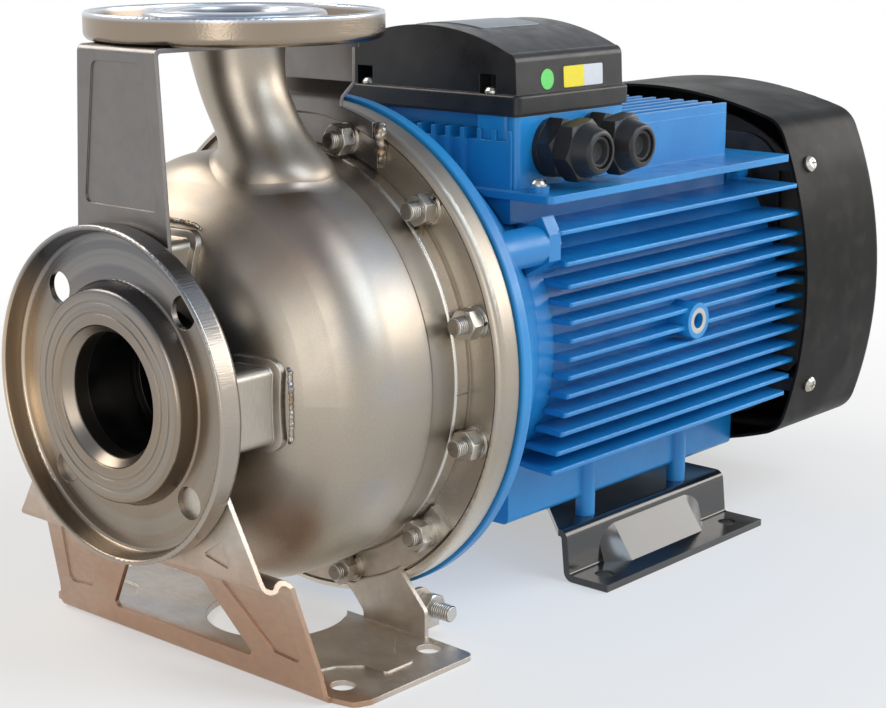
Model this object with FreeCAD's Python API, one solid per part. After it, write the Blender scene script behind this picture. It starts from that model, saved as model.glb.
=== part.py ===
import FreeCAD, Part
import math
import os
from FreeCAD import Vector

# End-suction monobloc pump of pressed stainless sheet on a finned motor, millimetres, +Z up.
# Drawn about the discharge flange's centreline: +X is the gland side, the shaft runs along +Y
# from the suction flange to the fan. On export the whole pump moves along Y, so that the
# origin lies on the base plane between the four holes of the pump foot.

# Hydraulic centre lines
AXIS_HEIGHT = 160.0
DISCHARGE_HEIGHT = 200.0
SUCTION_LENGTH = 100.0
FOOT_HOLES_BEHIND_DISCHARGE = 5.0

# Pressed flanges, drawn with the face at height 0 and the body below it
SUCTION_FLANGE_R = 92.5
SUCTION_FACE_R = 58.0
SUCTION_BOLT_R = 72.5
SUCTION_BORE_R = 34.5
DISCHARGE_FLANGE_R = 82.5
DISCHARGE_FACE_R = 50.0
DISCHARGE_BOLT_R = 62.5
DISCHARGE_BORE_R = 27.5
FLANGE_HOLE_R = 9.0
FLANGE_HOLE_COUNT = 4
FLANGE_DEPTH = 15.5
FLANGE_SHEET = 3.5
FLANGE_LIP = 3.0
GROOVE_DEPTH = 0.5
GROOVE_WIDTH = 1.2

# Pump casing, turned about the shaft
SHEET = 3.0
BOWL_R = 123.5
BOWL_FRONT_Y = -57.0
BOWL_NOSE_R = 78.0
BOWL_SHOULDER_Y = -22.0
BOWL_NOSE_BEND = 60.0
BOWL_SHOULDER_BEND = 38.0
SEAM_Y = 24.0
BAND_STEP = 2.0
COLLAR_Y = 44.0
COLLAR_SHEET = 1.2
RIM_FACE_Y = 56.0
RIM_CREST = 3.0
RIM_BACK_Y = 69.0
SUCTION_PIPE_WALL = 3.5
PIPE_WELD = 5.0

# Discharge neck: centre and radius of its sections from the flange down into the bowl
NECK_WALL = 2.5
NECK_BASE_X = 25.0
NECK_BASE_Y = 3.0
NECK_TOP_R = 27.5
NECK_WAIST_R = 24.8
NECK_BASE_R = 33.0

# Casing studs
STUD_COUNT = 12
STUD_CIRCLE_R = BOWL_R + 8.5
RIM_FLAT = 10.0
RIM_FACE_R = STUD_CIRCLE_R + RIM_FLAT
RIM_LIP = 5.5
RIM_R = RIM_FACE_R + RIM_LIP
STUD_FIRST_DEG = 15.0
STUD_R = 5.0
STUD_HOLE_R = 5.5
STUD_TIP_Y = 36.0
NUT_FLATS = 16.0
NUT_HEIGHT = 8.4
WASHER_R = 9.2
WASHER_THICK = 1.8
SPRING_WASHER_R = 8.3
SPRING_WASHER_THICK = 2.4
SPRING_WASHER_SLIT = 1.6

# Sheet that holds the discharge flange
BRACKET_SHEET = 2.5
BRACKET_HALF_TOP = 31.0
BRACKET_HALF_FOOT = 41.0
BRACKET_HALF_BACK = 44.0
BRACKET_TAB_HALF = 30.0
BRACKET_TAB_Y = 63.5
BRACKET_JOGGLE_TOP_Z = 317.0
BRACKET_JOGGLE_LOW_Z = 309.0
BRACKET_EAR_HALF = 56.0
BRACKET_EAR_DEPTH = 35.5
BRACKET_EAR_TOP_Z = 304.0
PANEL_PRESS = 1.0

# Struts between the suction flange and the bowl
BRACE_HALF = 21.5
BRACE_INNER_R = 60.0
BRACE_OUTER_R = 82.0
BRACE_SHEET = 2.5
BRACE_PAD = 3.5
BRACE_FLARE = 4.0

# Pump foot
FOOT_SHEET = 3.0
FOOT_HOLE_X = 106.0
FOOT_HOLE_SPAN = 70.0
FOOT_HOLE_R = 7.0
FOOT_FRONT_Y = -50.0
FOOT_BACK_Y = 53.0
FOOT_HALF_FRONT = 113.0
FOOT_HALF_PLATE = 131.0
FOOT_SHELF_Z = 70.0
FOOT_SHELF_HALF = 104.0
FOOT_TOP_HALF = 72.0
FOOT_TOP_Z = 122.0
FOOT_CUT_R = 42.0
FOOT_CUT_Y = 22.0
FOOT_LEG_INNER = 45.0
FOOT_LEG_HALF = 94.0

# Jacking bolt behind the pump foot
JACK_R = 5.0
JACK_Y = 66.0
JACK_Z = 15.0
JACK_LENGTH = 30.0
JACK_RIM_GAP = 6.95
JACK_HEAD = 6.5
JACK_LUG_HALF = 12.0
JACK_LUG_FROM_HEAD = 9.0

# Back cover with the seal chamber
COVER_SHEET = 3.0
COVER_R = RIM_FACE_R
COVER_DISH_R = BOWL_R - 8.5
COVER_FACE_Y = 30.0
CHAMBER_R = 46.0
CHAMBER_BACK_Y = 58.0
SEAT_HOLE_R = 22.0

# Mechanical seal
SEAL_SHAFT_R = 12.5
SEAT_BORE_R = 13.6
SEAT_R = 26.0
SEAT_LENGTH = 8.0
SEAL_RING_R = 20.0
SEAL_RING_LENGTH = 7.0
SEAL_GAP = 0.1
BELLOWS_R = 18.5
BELLOWS_FOLDS = 3

# Impeller
IMPELLER_R = 98.0
IMPELLER_EYE_R = 38.0
IMPELLER_SHEET = 2.5
IMPELLER_EYE_Y = -47.0
IMPELLER_OUTLET = 12.0
IMPELLER_HUB_R = 18.0
IMPELLER_HUB_Y = -26.0
VANE_COUNT = 6
VANE_THICK = 2.5
VANE_BEND_R = 70.0
VANE_BEND_OFFSET = 60.0
WEAR_GAP = 0.35
WEAR_RING_THICK = 5.0

# Shaft and its fits
RUNNING_FIT = 0.03
IMPELLER_SEAT_R = 11.0
SHAFT_THREAD_R = 8.0
SHAFT_TIP_Y = -43.0
SHAFT_LANTERN_R = 15.0
FRONT_BEARING_R = 20.0
ROTOR_SEAT_R = 24.0
REAR_BEARING_R = 15.0
FAN_SEAT_R = 12.0
KEY_WIDTH = 6.0
KEY_HEIGHT = 6.0
KEY_LENGTH = 26.0

# Bearings: outer radius, width and ball count
FRONT_BEARING_OUTER_R = 45.0
FRONT_BEARING_WIDTH = 23.0
REAR_BEARING_OUTER_R = 36.0
REAR_BEARING_WIDTH = 19.0
BALL_COUNT = 8

# Motor adapter, a casting that is also the front end shield
ADAPTER_LIP = 2.0
ADAPTER_FLANGE_R = RIM_R + ADAPTER_LIP
ADAPTER_SPIGOT_R = RIM_FACE_R
ADAPTER_FLANGE_Y = 69.7
ADAPTER_CONE_Y = 77.0
ADAPTER_NECK_R = 113.0
ADAPTER_NECK_Y = 128.0
ADAPTER_WALL = 8.0
ADAPTER_BOSS_R = 11.5
ADAPTER_BOSS_CIRCLE_R = ADAPTER_FLANGE_R - 17.5
ADAPTER_BOSS_END_Y = 122.0
ADAPTER_BOSS_ANGLES = (30.0, 150.0, 270.0)
ADAPTER_BOLT_R = 4.0

# Motor frame
FRAME_FRONT_Y = 143.0
FRAME_BACK_Y = 390.0
FRAME_BORE_R = 105.0
FRAME_WALL = 7.0
FRAME_SPIGOT = 6.0
BOTTOM_HALF = 79.0
BOTTOM_Z = 45.0
FIN_TIP_X = 125.7
FIN_PITCH = 10.95
FIN_ROOT = 5.0
FIN_TIP = 3.0
FIN_MID_Z = 167.5
FINS_ABOVE_MID = 3
FINS_BELOW_MID = 7
UPPER_FINS_Z = (214.0, 233.0)
FIN_FRONT_Y = 143.5
FIN_BACK_Y = 405.0
FIN_FRONT_SWEEP_R = 178.0
FIN_BACK_SWEEP_R = 138.0
SHELF_Z = 255.0
SHELF_THICK = 4.5
SHELF_FRONT_Y = 122.0
SHELF_BACK_Y = 378.0
DECK_HALF = 92.0
DECK_Z = 283.0
DECK_FRONT_Y = 127.0
DECK_BACK_Y = 351.0
RIB_HEIGHT = 6.0
RIB_THICK = 3.0
RIB_PITCH = 11.3
EYE_BOSS_R = 11.5
EYE_BOSS_X = 128.5
EYE_BOSS_Y = 271.0
EYE_THREAD_R = 5.0
EYE_THREAD_DEPTH = 18.0
POST_X = 77.7
POST_Y = (223.0, 325.0)
POST_R = 6.3

# Motor foot, pressed sheet
MOTOR_FOOT_SHEET = 4.5
MOTOR_FOOT_TOP_Z = 33.0
MOTOR_FOOT_FRONT_Y = 187.0
MOTOR_FOOT_BACK_Y = 364.0
MOTOR_FOOT_HALF = 123.0
MOTOR_FOOT_WEB_X = 93.5
MOTOR_FOOT_WEB_TOP_X = 90.5
MOTOR_FOOT_HOLE_X = 108.0
MOTOR_FOOT_HOLE_Y = (204.0, 344.0)
MOTOR_FOOT_HOLE_R = 6.0
MOTOR_FOOT_PRESS = 13.0
MOTOR_FOOT_PRESS_Y = (236.0, 316.0)
FOOT_SCREW_R = 3.3

# Motor inside
STATOR_BORE_R = 62.5
STATOR_Y = (190.0, 330.0)
AIR_GAP = 0.5
WINDING_LENGTH = 22.0
WINDING_R = (66.0, 97.0)
END_RING_LENGTH = 8.0

# Rear end shield, fan and fan cover
SHIELD_THICK = 10.0
SHIELD_PLATE = 4.0
SHIELD_HALF_X = 104.0
SHIELD_Z = (66.0, 264.0)
SHIELD_CORNER_R = 30.0
SHIELD_ARM_HALF = 5.0
SHIELD_SCREW_R = 3.0
SHIELD_SCREW_CIRCLE_R = 111.0
SHIELD_BOSS_R = 7.0
SHIELD_BOSS_LENGTH = 26.0
COVER_SCREW_Z = (93.0, 245.0)
COVER_SCREW_Y = 409.5
COVER_SCREW_R = 2.6
COVER_FRONT_Y = 390.0
COVER_BACK_Y = 491.0
COVER_HALF_X = 136.0
COVER_SIDE_Z = 157.0
COVER_SIDE_ARC_R = 270.0
COVER_TOP_Z = 293.0
COVER_LOW_Z = 39.0
COVER_CROWN_ARC_R = 330.0
COVER_CORNER_R = 22.0
COVER_EDGE_R = 8.0
COVER_WALL = 2.0
FAN_R = 112.0
FAN_HUB_R = 26.0
FAN_Y = (422.0, 462.0)
FAN_BLADE_COUNT = 8
FAN_BLADE_THICK = 3.0
GRILLE_SLOTS = 5
GRILLE_SPOKES = 8
GRILLE_SLOT = 6.0
GRILLE_PITCH = 16.0
GRILLE_FIRST_R = 24.0
GRILLE_SPOKE_WIDTH = 7.0

# Terminal box
BOX_X = (-49.0, 95.0)
BOX_Y = (129.0, 233.0)
BOX_FLOOR_Z = 277.0
BOX_TOP_Z = 297.0
BOX_WALL = 5.0
BOX_SADDLE_GAP = 0.4
GASKET_THICK = 1.5
LID_OVERHANG = 2.0
LID_FLANGE = 11.0
LID_STEP = 3.0
LID_CROWN_Z = 347.0
LID_SIDE_Z = 333.0
LID_WALL = 3.0
LID_EDGE_R = 4.0
LID_POCKET = 12.5
LID_POCKET_DEPTH = 12.0
LID_POCKET_HEIGHT = 11.0
LID_SCREW_INSET = 23.0
LID_SCREW_R = 3.0
BOX_COLUMN_R = 7.5
PLATE_THICK = 0.6
PLATE_X = (-4.0, 50.0)
PLATE_Y = (150.0, 206.0)
STICKER_THICK = 0.3
DOT_Y = 158.5
DOT_Z = 317.0
DOT_R = 6.0
PATCH_Y = (174.0, 212.0)
PATCH_Z = (311.0, 323.5)

# Cable glands and earth screw
GLAND_Y = (160.0, 201.0)
GLAND_Z = 277.5
GLAND_THREAD_R = 12.5
GLAND_FLATS = 33.0
GLAND_BODY = 15.0
GLAND_CAP_R = 17.0
GLAND_MOUTH_R = 12.5
GLAND_LENGTH = 38.0
GLAND_HOLE_R = 8.5
LOCKNUT_FLATS = 27.0
LOCKNUT_ROOM = 16.5
EARTH_X = 110.0
EARTH_Y = 131.0


def box(x0, x1, y0, y1, z0, z1):
    return Part.makeBox(x1 - x0, y1 - y0, z1 - z0, Vector(x0, y0, z0))


def rod(radius, start, direction, length):
    return Part.makeCylinder(radius, length, start, direction)


def rod_y(radius, y0, y1, x=0.0, z=AXIS_HEIGHT):
    return rod(radius, Vector(x, y0, z), Vector(0, 1, 0), y1 - y0)


def rod_z(radius, z0, z1, x=0.0, y=0.0):
    return rod(radius, Vector(x, y, z0), Vector(0, 0, 1), z1 - z0)


def rod_x(radius, x0, x1, y, z):
    return rod(radius, Vector(x0, y, z), Vector(1, 0, 0), x1 - x0)


def ring_y(outer_r, inner_r, y0, y1):
    return rod_y(outer_r, y0, y1).cut(rod_y(inner_r, y0, y1))


def fuse(shapes):
    whole = shapes[0].multiFuse(shapes[1:]) if len(shapes) > 1 else shapes[0]
    return whole.removeSplitter()


def both_sides(shape):
    return [shape, shape.mirror(Vector(0, 0, 0), Vector(1, 0, 0))]


def on_shaft_circle(radius, degrees):
    angle = math.radians(degrees)
    return radius * math.cos(angle), AXIS_HEIGHT + radius * math.sin(angle)


# Outlines are lists of (u, v) or (u, v, bend radius)


def outline_edges(points, place, closed=True):
    corners = [(p[0], p[1], p[2] if len(p) > 2 else 0.0) for p in points]
    count = len(corners)
    stretches = []
    for i, (u, v, radius) in enumerate(corners):
        if radius <= 0.0 or (not closed and i in (0, count - 1)):
            stretches.append(((u, v), (u, v), None))
            continue
        before = corners[i - 1]
        after = corners[(i + 1) % count]
        a = Vector(before[0] - u, before[1] - v, 0).normalize()
        b = Vector(after[0] - u, after[1] - v, 0).normalize()
        half = a.getAngle(b) / 2.0
        reach = radius / math.tan(half)
        middle = (a + b).normalize() * (radius / math.sin(half) - radius)
        start = (u + a.x * reach, v + a.y * reach)
        end = (u + b.x * reach, v + b.y * reach)
        stretches.append((start, end, (u + middle.x, v + middle.y)))
    edges = []
    for i, (start, end, middle) in enumerate(stretches):
        if middle:
            edges.append(Part.Arc(place(*start), place(*middle), place(*end)).toShape())
        if i == count - 1 and not closed:
            break
        following = place(*stretches[(i + 1) % count][0])
        if place(*end).distanceToPoint(following) > 1e-6:
            edges.append(Part.makeLine(place(*end), following))
    return edges


def outline_face(points, place):
    return Part.Face(Part.Wire(outline_edges(points, place)))


def offset_path(path, distance):
    points = [Vector(p[0], p[1], 0) for p in path]
    bends = [p[2] if len(p) > 2 else 0.0 for p in path]
    directions = [(b - a).normalize() for a, b in zip(points, points[1:])]
    normals = [Vector(-d.y, d.x, 0) for d in directions]
    moved = []
    for i, point in enumerate(points):
        before = normals[max(i - 1, 0)]
        after = normals[min(i, len(normals) - 1)]
        shift = (before + after) * (distance / (1.0 + before.dot(after)))
        bend = bends[i]
        if bend and 0 < i < len(points) - 1:
            turn = directions[i - 1].cross(directions[i]).z
            bend = max(bend - distance * math.copysign(1.0, turn), 0.0)
        moved.append((point.x + shift.x, point.y + shift.y, bend))
    return moved


def sheet_outline(path, thickness):
    return list(path) + offset_path(path, thickness)[::-1]


def turned(points):
    face = outline_face(points, lambda r, y: Vector(r, y, AXIS_HEIGHT))
    return face.revolve(Vector(0, 0, AXIS_HEIGHT), Vector(0, 1, 0), 360)


def turned_about_z(points):
    face = outline_face(points, lambda r, z: Vector(r, 0, z))
    return face.revolve(Vector(0, 0, 0), Vector(0, 0, 1), 360)


def prism_x(points, x0, x1):
    return outline_face(points, lambda y, z: Vector(x0, y, z)).extrude(Vector(x1 - x0, 0, 0))


def prism_y(points, y0, y1):
    return outline_face(points, lambda x, z: Vector(x, y0, z)).extrude(Vector(0, y1 - y0, 0))


def prism_z(points, z0, z1):
    return outline_face(points, lambda x, y: Vector(x, y, z0)).extrude(Vector(0, 0, z1 - z0))


# Fasteners, drawn along +Z from height 0 and then laid along their own axis


def laid(shape, x, y, z, direction, spin=0.0):
    turn = FreeCAD.Rotation(Vector(0, 0, 1), direction)
    spun = FreeCAD.Rotation(Vector(0, 0, 1), spin)
    placed = shape.copy()
    placed.Placement = FreeCAD.Placement(Vector(x, y, z), turn.multiply(spun))
    return placed


def hexagon(flats, height, chamfer_top=True, chamfer_foot=False):
    corner_r = flats / math.sqrt(3)
    sides = [(corner_r * math.cos(math.radians(60 * k)), corner_r * math.sin(math.radians(60 * k)))
             for k in range(6)]
    body = prism_z(sides, 0, height)
    drop = (corner_r - flats / 2) * math.tan(math.radians(30))
    top = drop if chamfer_top else 0.0
    foot = drop if chamfer_foot else 0.0
    turned_limit = turned_about_z([(0, 0), (flats / 2 if foot else corner_r, 0), (corner_r, foot),
                                   (corner_r, height - top),
                                   (flats / 2 if top else corner_r, height), (0, height)])
    return body.common(turned_limit)


def nut(thread_r, flats, height):
    return hexagon(flats, height, True, True).cut(rod_z(thread_r, 0, height))


def washer(outer_r, hole_r, thickness):
    return rod_z(outer_r, 0, thickness).cut(rod_z(hole_r, 0, thickness))


def spring_washer(outer_r, hole_r, thickness, slit):
    slot = box(0, outer_r * 2, -slit / 2, slit / 2, -thickness, thickness * 2)
    slot.rotate(Vector(0, 0, thickness / 2), Vector(1, 0, 0), 30)
    return washer(outer_r, hole_r, thickness).cut(slot)


def threaded_rod(radius, length, chamfer=1.0):
    return turned_about_z([(0, 0), (radius - chamfer, 0), (radius, chamfer),
                           (radius, length - chamfer), (radius - chamfer, length), (0, length)])


def hex_screw(thread_r, length, flats, head):
    shank = turned_about_z([(0, -length), (thread_r - 0.6, -length), (thread_r, 0.6 - length),
                            (thread_r, 0), (0, 0)])
    return shank.fuse(hexagon(flats, head)).removeSplitter()


def pan_screw(thread_r, length, head_r, head):
    body = turned_about_z([(0, -length), (thread_r, -length), (thread_r, 0), (head_r, 0),
                           (head_r, head * 0.4), (head_r * 0.7, head, head_r * 0.3), (0, head)])
    slot = box(-head_r * 0.55, head_r * 0.55, -0.5, 0.5, head * 0.5, head + 1)
    cross = slot.copy()
    cross.rotate(Vector(0, 0, 0), Vector(0, 0, 1), 90)
    return body.cut(slot).cut(cross)


# Pressed flanges


def pressed_flange(flange_r, face_r, bore_r, bolt_r):
    """A dished flange about +Z: raised rim and raised face at height 0, bolt ring sunk between."""
    floor = FLANGE_SHEET - FLANGE_DEPTH
    foot_r = face_r + 3.5
    lip_r = bore_r + 4.8
    body = turned_about_z([
        (bore_r, -FLANGE_DEPTH), (flange_r, -FLANGE_DEPTH, 4.5), (flange_r, 0, 1.4),
        (flange_r - FLANGE_LIP, 0, 1.2), (flange_r - FLANGE_LIP - 1.8, floor, 2.5),
        (foot_r, floor, 1.5), (face_r, 0, 3.0), (lip_r, 0), (lip_r - 0.6, -1.2),
        (bore_r, -6.5, 2.0)])
    for fraction in (0.3, 0.62):
        groove_r = lip_r + (face_r - lip_r) * fraction
        groove = rod_z(groove_r + GROOVE_WIDTH, -GROOVE_DEPTH, 1)
        body = body.cut(groove.cut(rod_z(groove_r, -GROOVE_DEPTH, 1)))
    for k in range(FLANGE_HOLE_COUNT):
        angle = math.radians(360.0 / FLANGE_HOLE_COUNT * (k + 0.5))
        body = body.cut(rod_z(FLANGE_HOLE_R, -FLANGE_DEPTH - 1, 1,
                              bolt_r * math.cos(angle), bolt_r * math.sin(angle)))
    return body


def suction_flange():
    body = pressed_flange(SUCTION_FLANGE_R, SUCTION_FACE_R, SUCTION_BORE_R, SUCTION_BOLT_R)
    return laid(body, 0, -SUCTION_LENGTH, AXIS_HEIGHT, Vector(0, -1, 0))


def discharge_flange():
    body = pressed_flange(DISCHARGE_FLANGE_R, DISCHARGE_FACE_R, DISCHARGE_BORE_R, DISCHARGE_BOLT_R)
    return laid(body, 0, 0, AXIS_HEIGHT + DISCHARGE_HEIGHT, Vector(0, 0, 1))


FLANGE_BACK_Y = FLANGE_DEPTH - SUCTION_LENGTH
FLANGE_UNDER_Z = AXIS_HEIGHT + DISCHARGE_HEIGHT - FLANGE_DEPTH
PIPE_R = SUCTION_BORE_R + SUCTION_PIPE_WALL


# Casing


def bowl_path():
    band_r = BOWL_R - BAND_STEP
    return [(PIPE_R, BOWL_FRONT_Y), (BOWL_NOSE_R, BOWL_FRONT_Y, BOWL_NOSE_BEND),
            (BOWL_R, BOWL_SHOULDER_Y, BOWL_SHOULDER_BEND), (BOWL_R, SEAM_Y, 1.2),
            (band_r, SEAM_Y + BAND_STEP, 1.2), (band_r, RIM_FACE_Y + SHEET)]


def bowl_outside(extra=0.0):
    """The bowl filled solid, grown by a little where a sheet lies on it."""
    path = offset_path(bowl_path()[:3] + [(BOWL_R, RIM_FACE_Y)], -extra)
    return turned([(0, BOWL_FRONT_Y - extra)] + path + [(0, RIM_FACE_Y)])


def neck_sections(shrink=0.0):
    top = FLANGE_UNDER_Z
    bowl_top = AXIS_HEIGHT + BOWL_R
    drop = top - bowl_top
    stations = [(0.0, 0.0, top, NECK_TOP_R), (0.0, 0.04, top - 0.15 * drop, NECK_TOP_R - 1.2),
                (0.0, 0.16, top - 0.4 * drop, NECK_WAIST_R), (0.0, 0.44, top - 0.66 * drop, NECK_WAIST_R),
                (0.0, 0.8, top - 0.9 * drop, NECK_WAIST_R + 1.5),
                (0.0, 1.0, bowl_top - 2.0, NECK_BASE_R - 3.5), (0.0, 1.1, bowl_top - 14.0, NECK_BASE_R)]
    return [(share * NECK_BASE_X, share * NECK_BASE_Y, z, radius - shrink)
            for _, share, z, radius in stations]


def neck_solid(shrink=0.0):
    rings = []
    for x, y, z, radius in neck_sections(shrink):
        rings.append(Part.Wire(Part.makeCircle(radius, Vector(x, y, z), Vector(0, 0, 1))))
    return Part.makeLoft(rings, True)


def pump_casing():
    shell = turned(sheet_outline(bowl_path(), SHEET))
    return shell.cut(neck_solid(NECK_WALL))


def discharge_neck():
    tube = neck_solid().cut(neck_solid(NECK_WALL))
    return tube.cut(bowl_outside())


def suction_pipe():
    inside_y = BOWL_FRONT_Y + SHEET
    return turned([(SUCTION_BORE_R, FLANGE_BACK_Y), (PIPE_R, FLANGE_BACK_Y),
                   (PIPE_R, BOWL_FRONT_Y - PIPE_WELD, PIPE_WELD / 2), (PIPE_R + PIPE_WELD, BOWL_FRONT_Y),
                   (PIPE_R, BOWL_FRONT_Y), (PIPE_R, inside_y), (SUCTION_BORE_R, inside_y)])


def stud_angles():
    return [STUD_FIRST_DEG + 360.0 / STUD_COUNT * k for k in range(STUD_COUNT)]


def stud_holes(radius, y0, y1):
    return fuse([rod_y(radius, y0, y1, *on_shaft_circle(STUD_CIRCLE_R, a)) for a in stud_angles()])


def casing_flange():
    band_r = BOWL_R - BAND_STEP
    body = turned([
        (band_r, COLLAR_Y), (band_r + COLLAR_SHEET, COLLAR_Y + COLLAR_SHEET, 0.5),
        (band_r + COLLAR_SHEET, RIM_FACE_Y), (RIM_FACE_R, RIM_FACE_Y),
        (RIM_FACE_R + 0.6, RIM_FACE_Y - RIM_CREST, 0.6), (RIM_R, RIM_FACE_Y - RIM_CREST, 5.0),
        (RIM_R, RIM_BACK_Y, 1.0), (RIM_R - SHEET, RIM_BACK_Y), (RIM_R - SHEET, RIM_FACE_Y + SHEET),
        (band_r, RIM_FACE_Y + SHEET)])
    return body.cut(stud_holes(STUD_HOLE_R, COLLAR_Y, RIM_BACK_Y))


# Studs, nuts and washers: those that clamp a sheet sit forward by its thickness

FOOT_STUD_ANGLES = (225.0, 255.0, 285.0, 315.0)
BRACKET_STUD_ANGLES = (75.0, 105.0)


def seat_y(degrees):
    if degrees in FOOT_STUD_ANGLES:
        return RIM_FACE_Y - FOOT_SHEET
    if degrees in BRACKET_STUD_ANGLES:
        return RIM_FACE_Y - BRACKET_SHEET
    return RIM_FACE_Y


def casing_studs():
    studs = []
    for angle in stud_angles():
        x, z = on_shaft_circle(STUD_CIRCLE_R, angle)
        studs.append(laid(threaded_rod(STUD_R, ADAPTER_CONE_Y - 2 - STUD_TIP_Y), x, STUD_TIP_Y, z,
                          Vector(0, 1, 0)))
    return studs


def on_studs(shape, lift, spin_step=0.0):
    """Copies of a ring on every stud, its outer end the given distance in front of the seat."""
    copies = []
    for k, angle in enumerate(stud_angles()):
        x, z = on_shaft_circle(STUD_CIRCLE_R, angle)
        copies.append(laid(shape, x, seat_y(angle) - lift, z, Vector(0, -1, 0), spin_step * k))
    return copies


def flat_washers():
    return on_studs(washer(WASHER_R, STUD_HOLE_R, WASHER_THICK), 0.0)


def lock_washers():
    ring = spring_washer(SPRING_WASHER_R, STUD_R + 0.2, SPRING_WASHER_THICK, SPRING_WASHER_SLIT)
    return on_studs(ring, WASHER_THICK, 47.0)


def casing_nuts():
    return on_studs(nut(STUD_R, NUT_FLATS, NUT_HEIGHT), WASHER_THICK + SPRING_WASHER_THICK, 23.0)


# Bracket of the discharge flange


def flange_bracket():
    top = FLANGE_UNDER_Z
    front_y = FLANGE_BACK_Y
    crest_y = RIM_FACE_Y - RIM_CREST
    path = [(front_y, AXIS_HEIGHT + BOWL_R * 0.6), (front_y, top, 4.0), (BRACKET_TAB_Y, top, 3.0),
            (BRACKET_TAB_Y, BRACKET_JOGGLE_TOP_Z, 3.0), (crest_y, BRACKET_JOGGLE_LOW_Z, 3.0),
            (crest_y, BRACKET_JOGGLE_LOW_Z - 8)]
    sheet = prism_x(sheet_outline(path, -BRACKET_SHEET), -BRACKET_EAR_HALF, BRACKET_EAR_HALF)
    leg = prism_y([(-BRACKET_HALF_FOOT - 1, AXIS_HEIGHT), (BRACKET_HALF_FOOT + 1, AXIS_HEIGHT),
                   (BRACKET_HALF_TOP, top + 1), (-BRACKET_HALF_TOP, top + 1)],
                  front_y - 1, front_y + BRACKET_SHEET + 2)
    plate = prism_z([(-BRACKET_HALF_TOP, front_y - 1), (BRACKET_HALF_TOP, front_y - 1),
                     (BRACKET_HALF_BACK, BRACKET_TAB_Y - 8, 6.0), (BRACKET_TAB_HALF, BRACKET_TAB_Y + 1),
                     (-BRACKET_TAB_HALF, BRACKET_TAB_Y + 1), (-BRACKET_HALF_BACK, BRACKET_TAB_Y - 8, 6.0)],
                    top - BRACKET_SHEET - 4, top + 1)
    tab = prism_y([(-BRACKET_TAB_HALF, BRACKET_JOGGLE_LOW_Z - 9), (BRACKET_TAB_HALF, BRACKET_JOGGLE_LOW_Z - 9),
                   (BRACKET_TAB_HALF, top + 1), (-BRACKET_TAB_HALF, top + 1)],
                  crest_y - BRACKET_SHEET - 1, BRACKET_TAB_Y + 2)
    sheet = fuse([sheet.common(fuse([leg, plate, tab])), bracket_ear()])
    sheet = sheet.cut(rod_y(SUCTION_FLANGE_R - 12, front_y - 1, front_y + BRACKET_SHEET + 1))
    sheet = sheet.cut(rod_z(NECK_TOP_R + 0.5, top - BRACKET_SHEET - 1, top + 1))
    for angle in BRACKET_STUD_ANGLES:
        x, z = on_shaft_circle(STUD_CIRCLE_R, angle)
        sheet = sheet.cut(rod_y(STUD_HOLE_R, crest_y - BRACKET_SHEET, RIM_FACE_Y, x, z))
        sheet = sheet.cut(rod_y(WASHER_R + 0.2, crest_y - BRACKET_SHEET - 1, RIM_FACE_Y - BRACKET_SHEET, x, z))
    return sheet.cut(bracket_panel(0.0)).fuse(bracket_panel(BRACKET_SHEET)).removeSplitter()


def flange_lining(sheet):
    """A sheet that lies on the casing flange and steps over the crest of its rim."""
    crest_y = RIM_FACE_Y - RIM_CREST
    front_y = RIM_FACE_Y - sheet
    return turned([(COLLAR_OUTER_R + 1.0, front_y), (RIM_FACE_R - sheet, front_y),
                   (RIM_FACE_R - sheet, crest_y - sheet, 1.5), (RIM_R + 1.0, crest_y - sheet),
                   (RIM_R + 1.0, crest_y), (RIM_FACE_R - 0.2, crest_y), (RIM_FACE_R - 0.2, RIM_FACE_Y),
                   (COLLAR_OUTER_R + 1.0, RIM_FACE_Y)])


def bracket_ear():
    low = AXIS_HEIGHT + RIM_R - BRACKET_EAR_DEPTH
    side = prism_y([(-BRACKET_EAR_HALF, low), (BRACKET_EAR_HALF, low),
                    (BRACKET_EAR_HALF - 1, BRACKET_EAR_TOP_Z, 7.0), (BRACKET_TAB_HALF, BRACKET_JOGGLE_LOW_Z + 1),
                    (-BRACKET_TAB_HALF, BRACKET_JOGGLE_LOW_Z + 1),
                    (1 - BRACKET_EAR_HALF, BRACKET_EAR_TOP_Z, 7.0)],
                   RIM_FACE_Y - RIM_CREST - BRACKET_SHEET, RIM_FACE_Y)
    return flange_lining(BRACKET_SHEET).common(side)


def bracket_panel(depth):
    """The panel pressed into the bracket's front leg: the pocket, or the pad behind it."""
    y = FLANGE_BACK_Y + depth
    low = AXIS_HEIGHT + SUCTION_FLANGE_R + 8.0
    return prism_y([(-BRACKET_HALF_FOOT + 11, low, 4.0), (BRACKET_HALF_FOOT - 11, low, 4.0),
                    (BRACKET_HALF_TOP - 11, FLANGE_UNDER_Z - 8, 5.0),
                    (-BRACKET_HALF_TOP + 11, FLANGE_UNDER_Z - 8, 5.0)], y, y + PANEL_PRESS)


COLLAR_OUTER_R = BOWL_R - BAND_STEP + COLLAR_SHEET


# Struts


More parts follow.
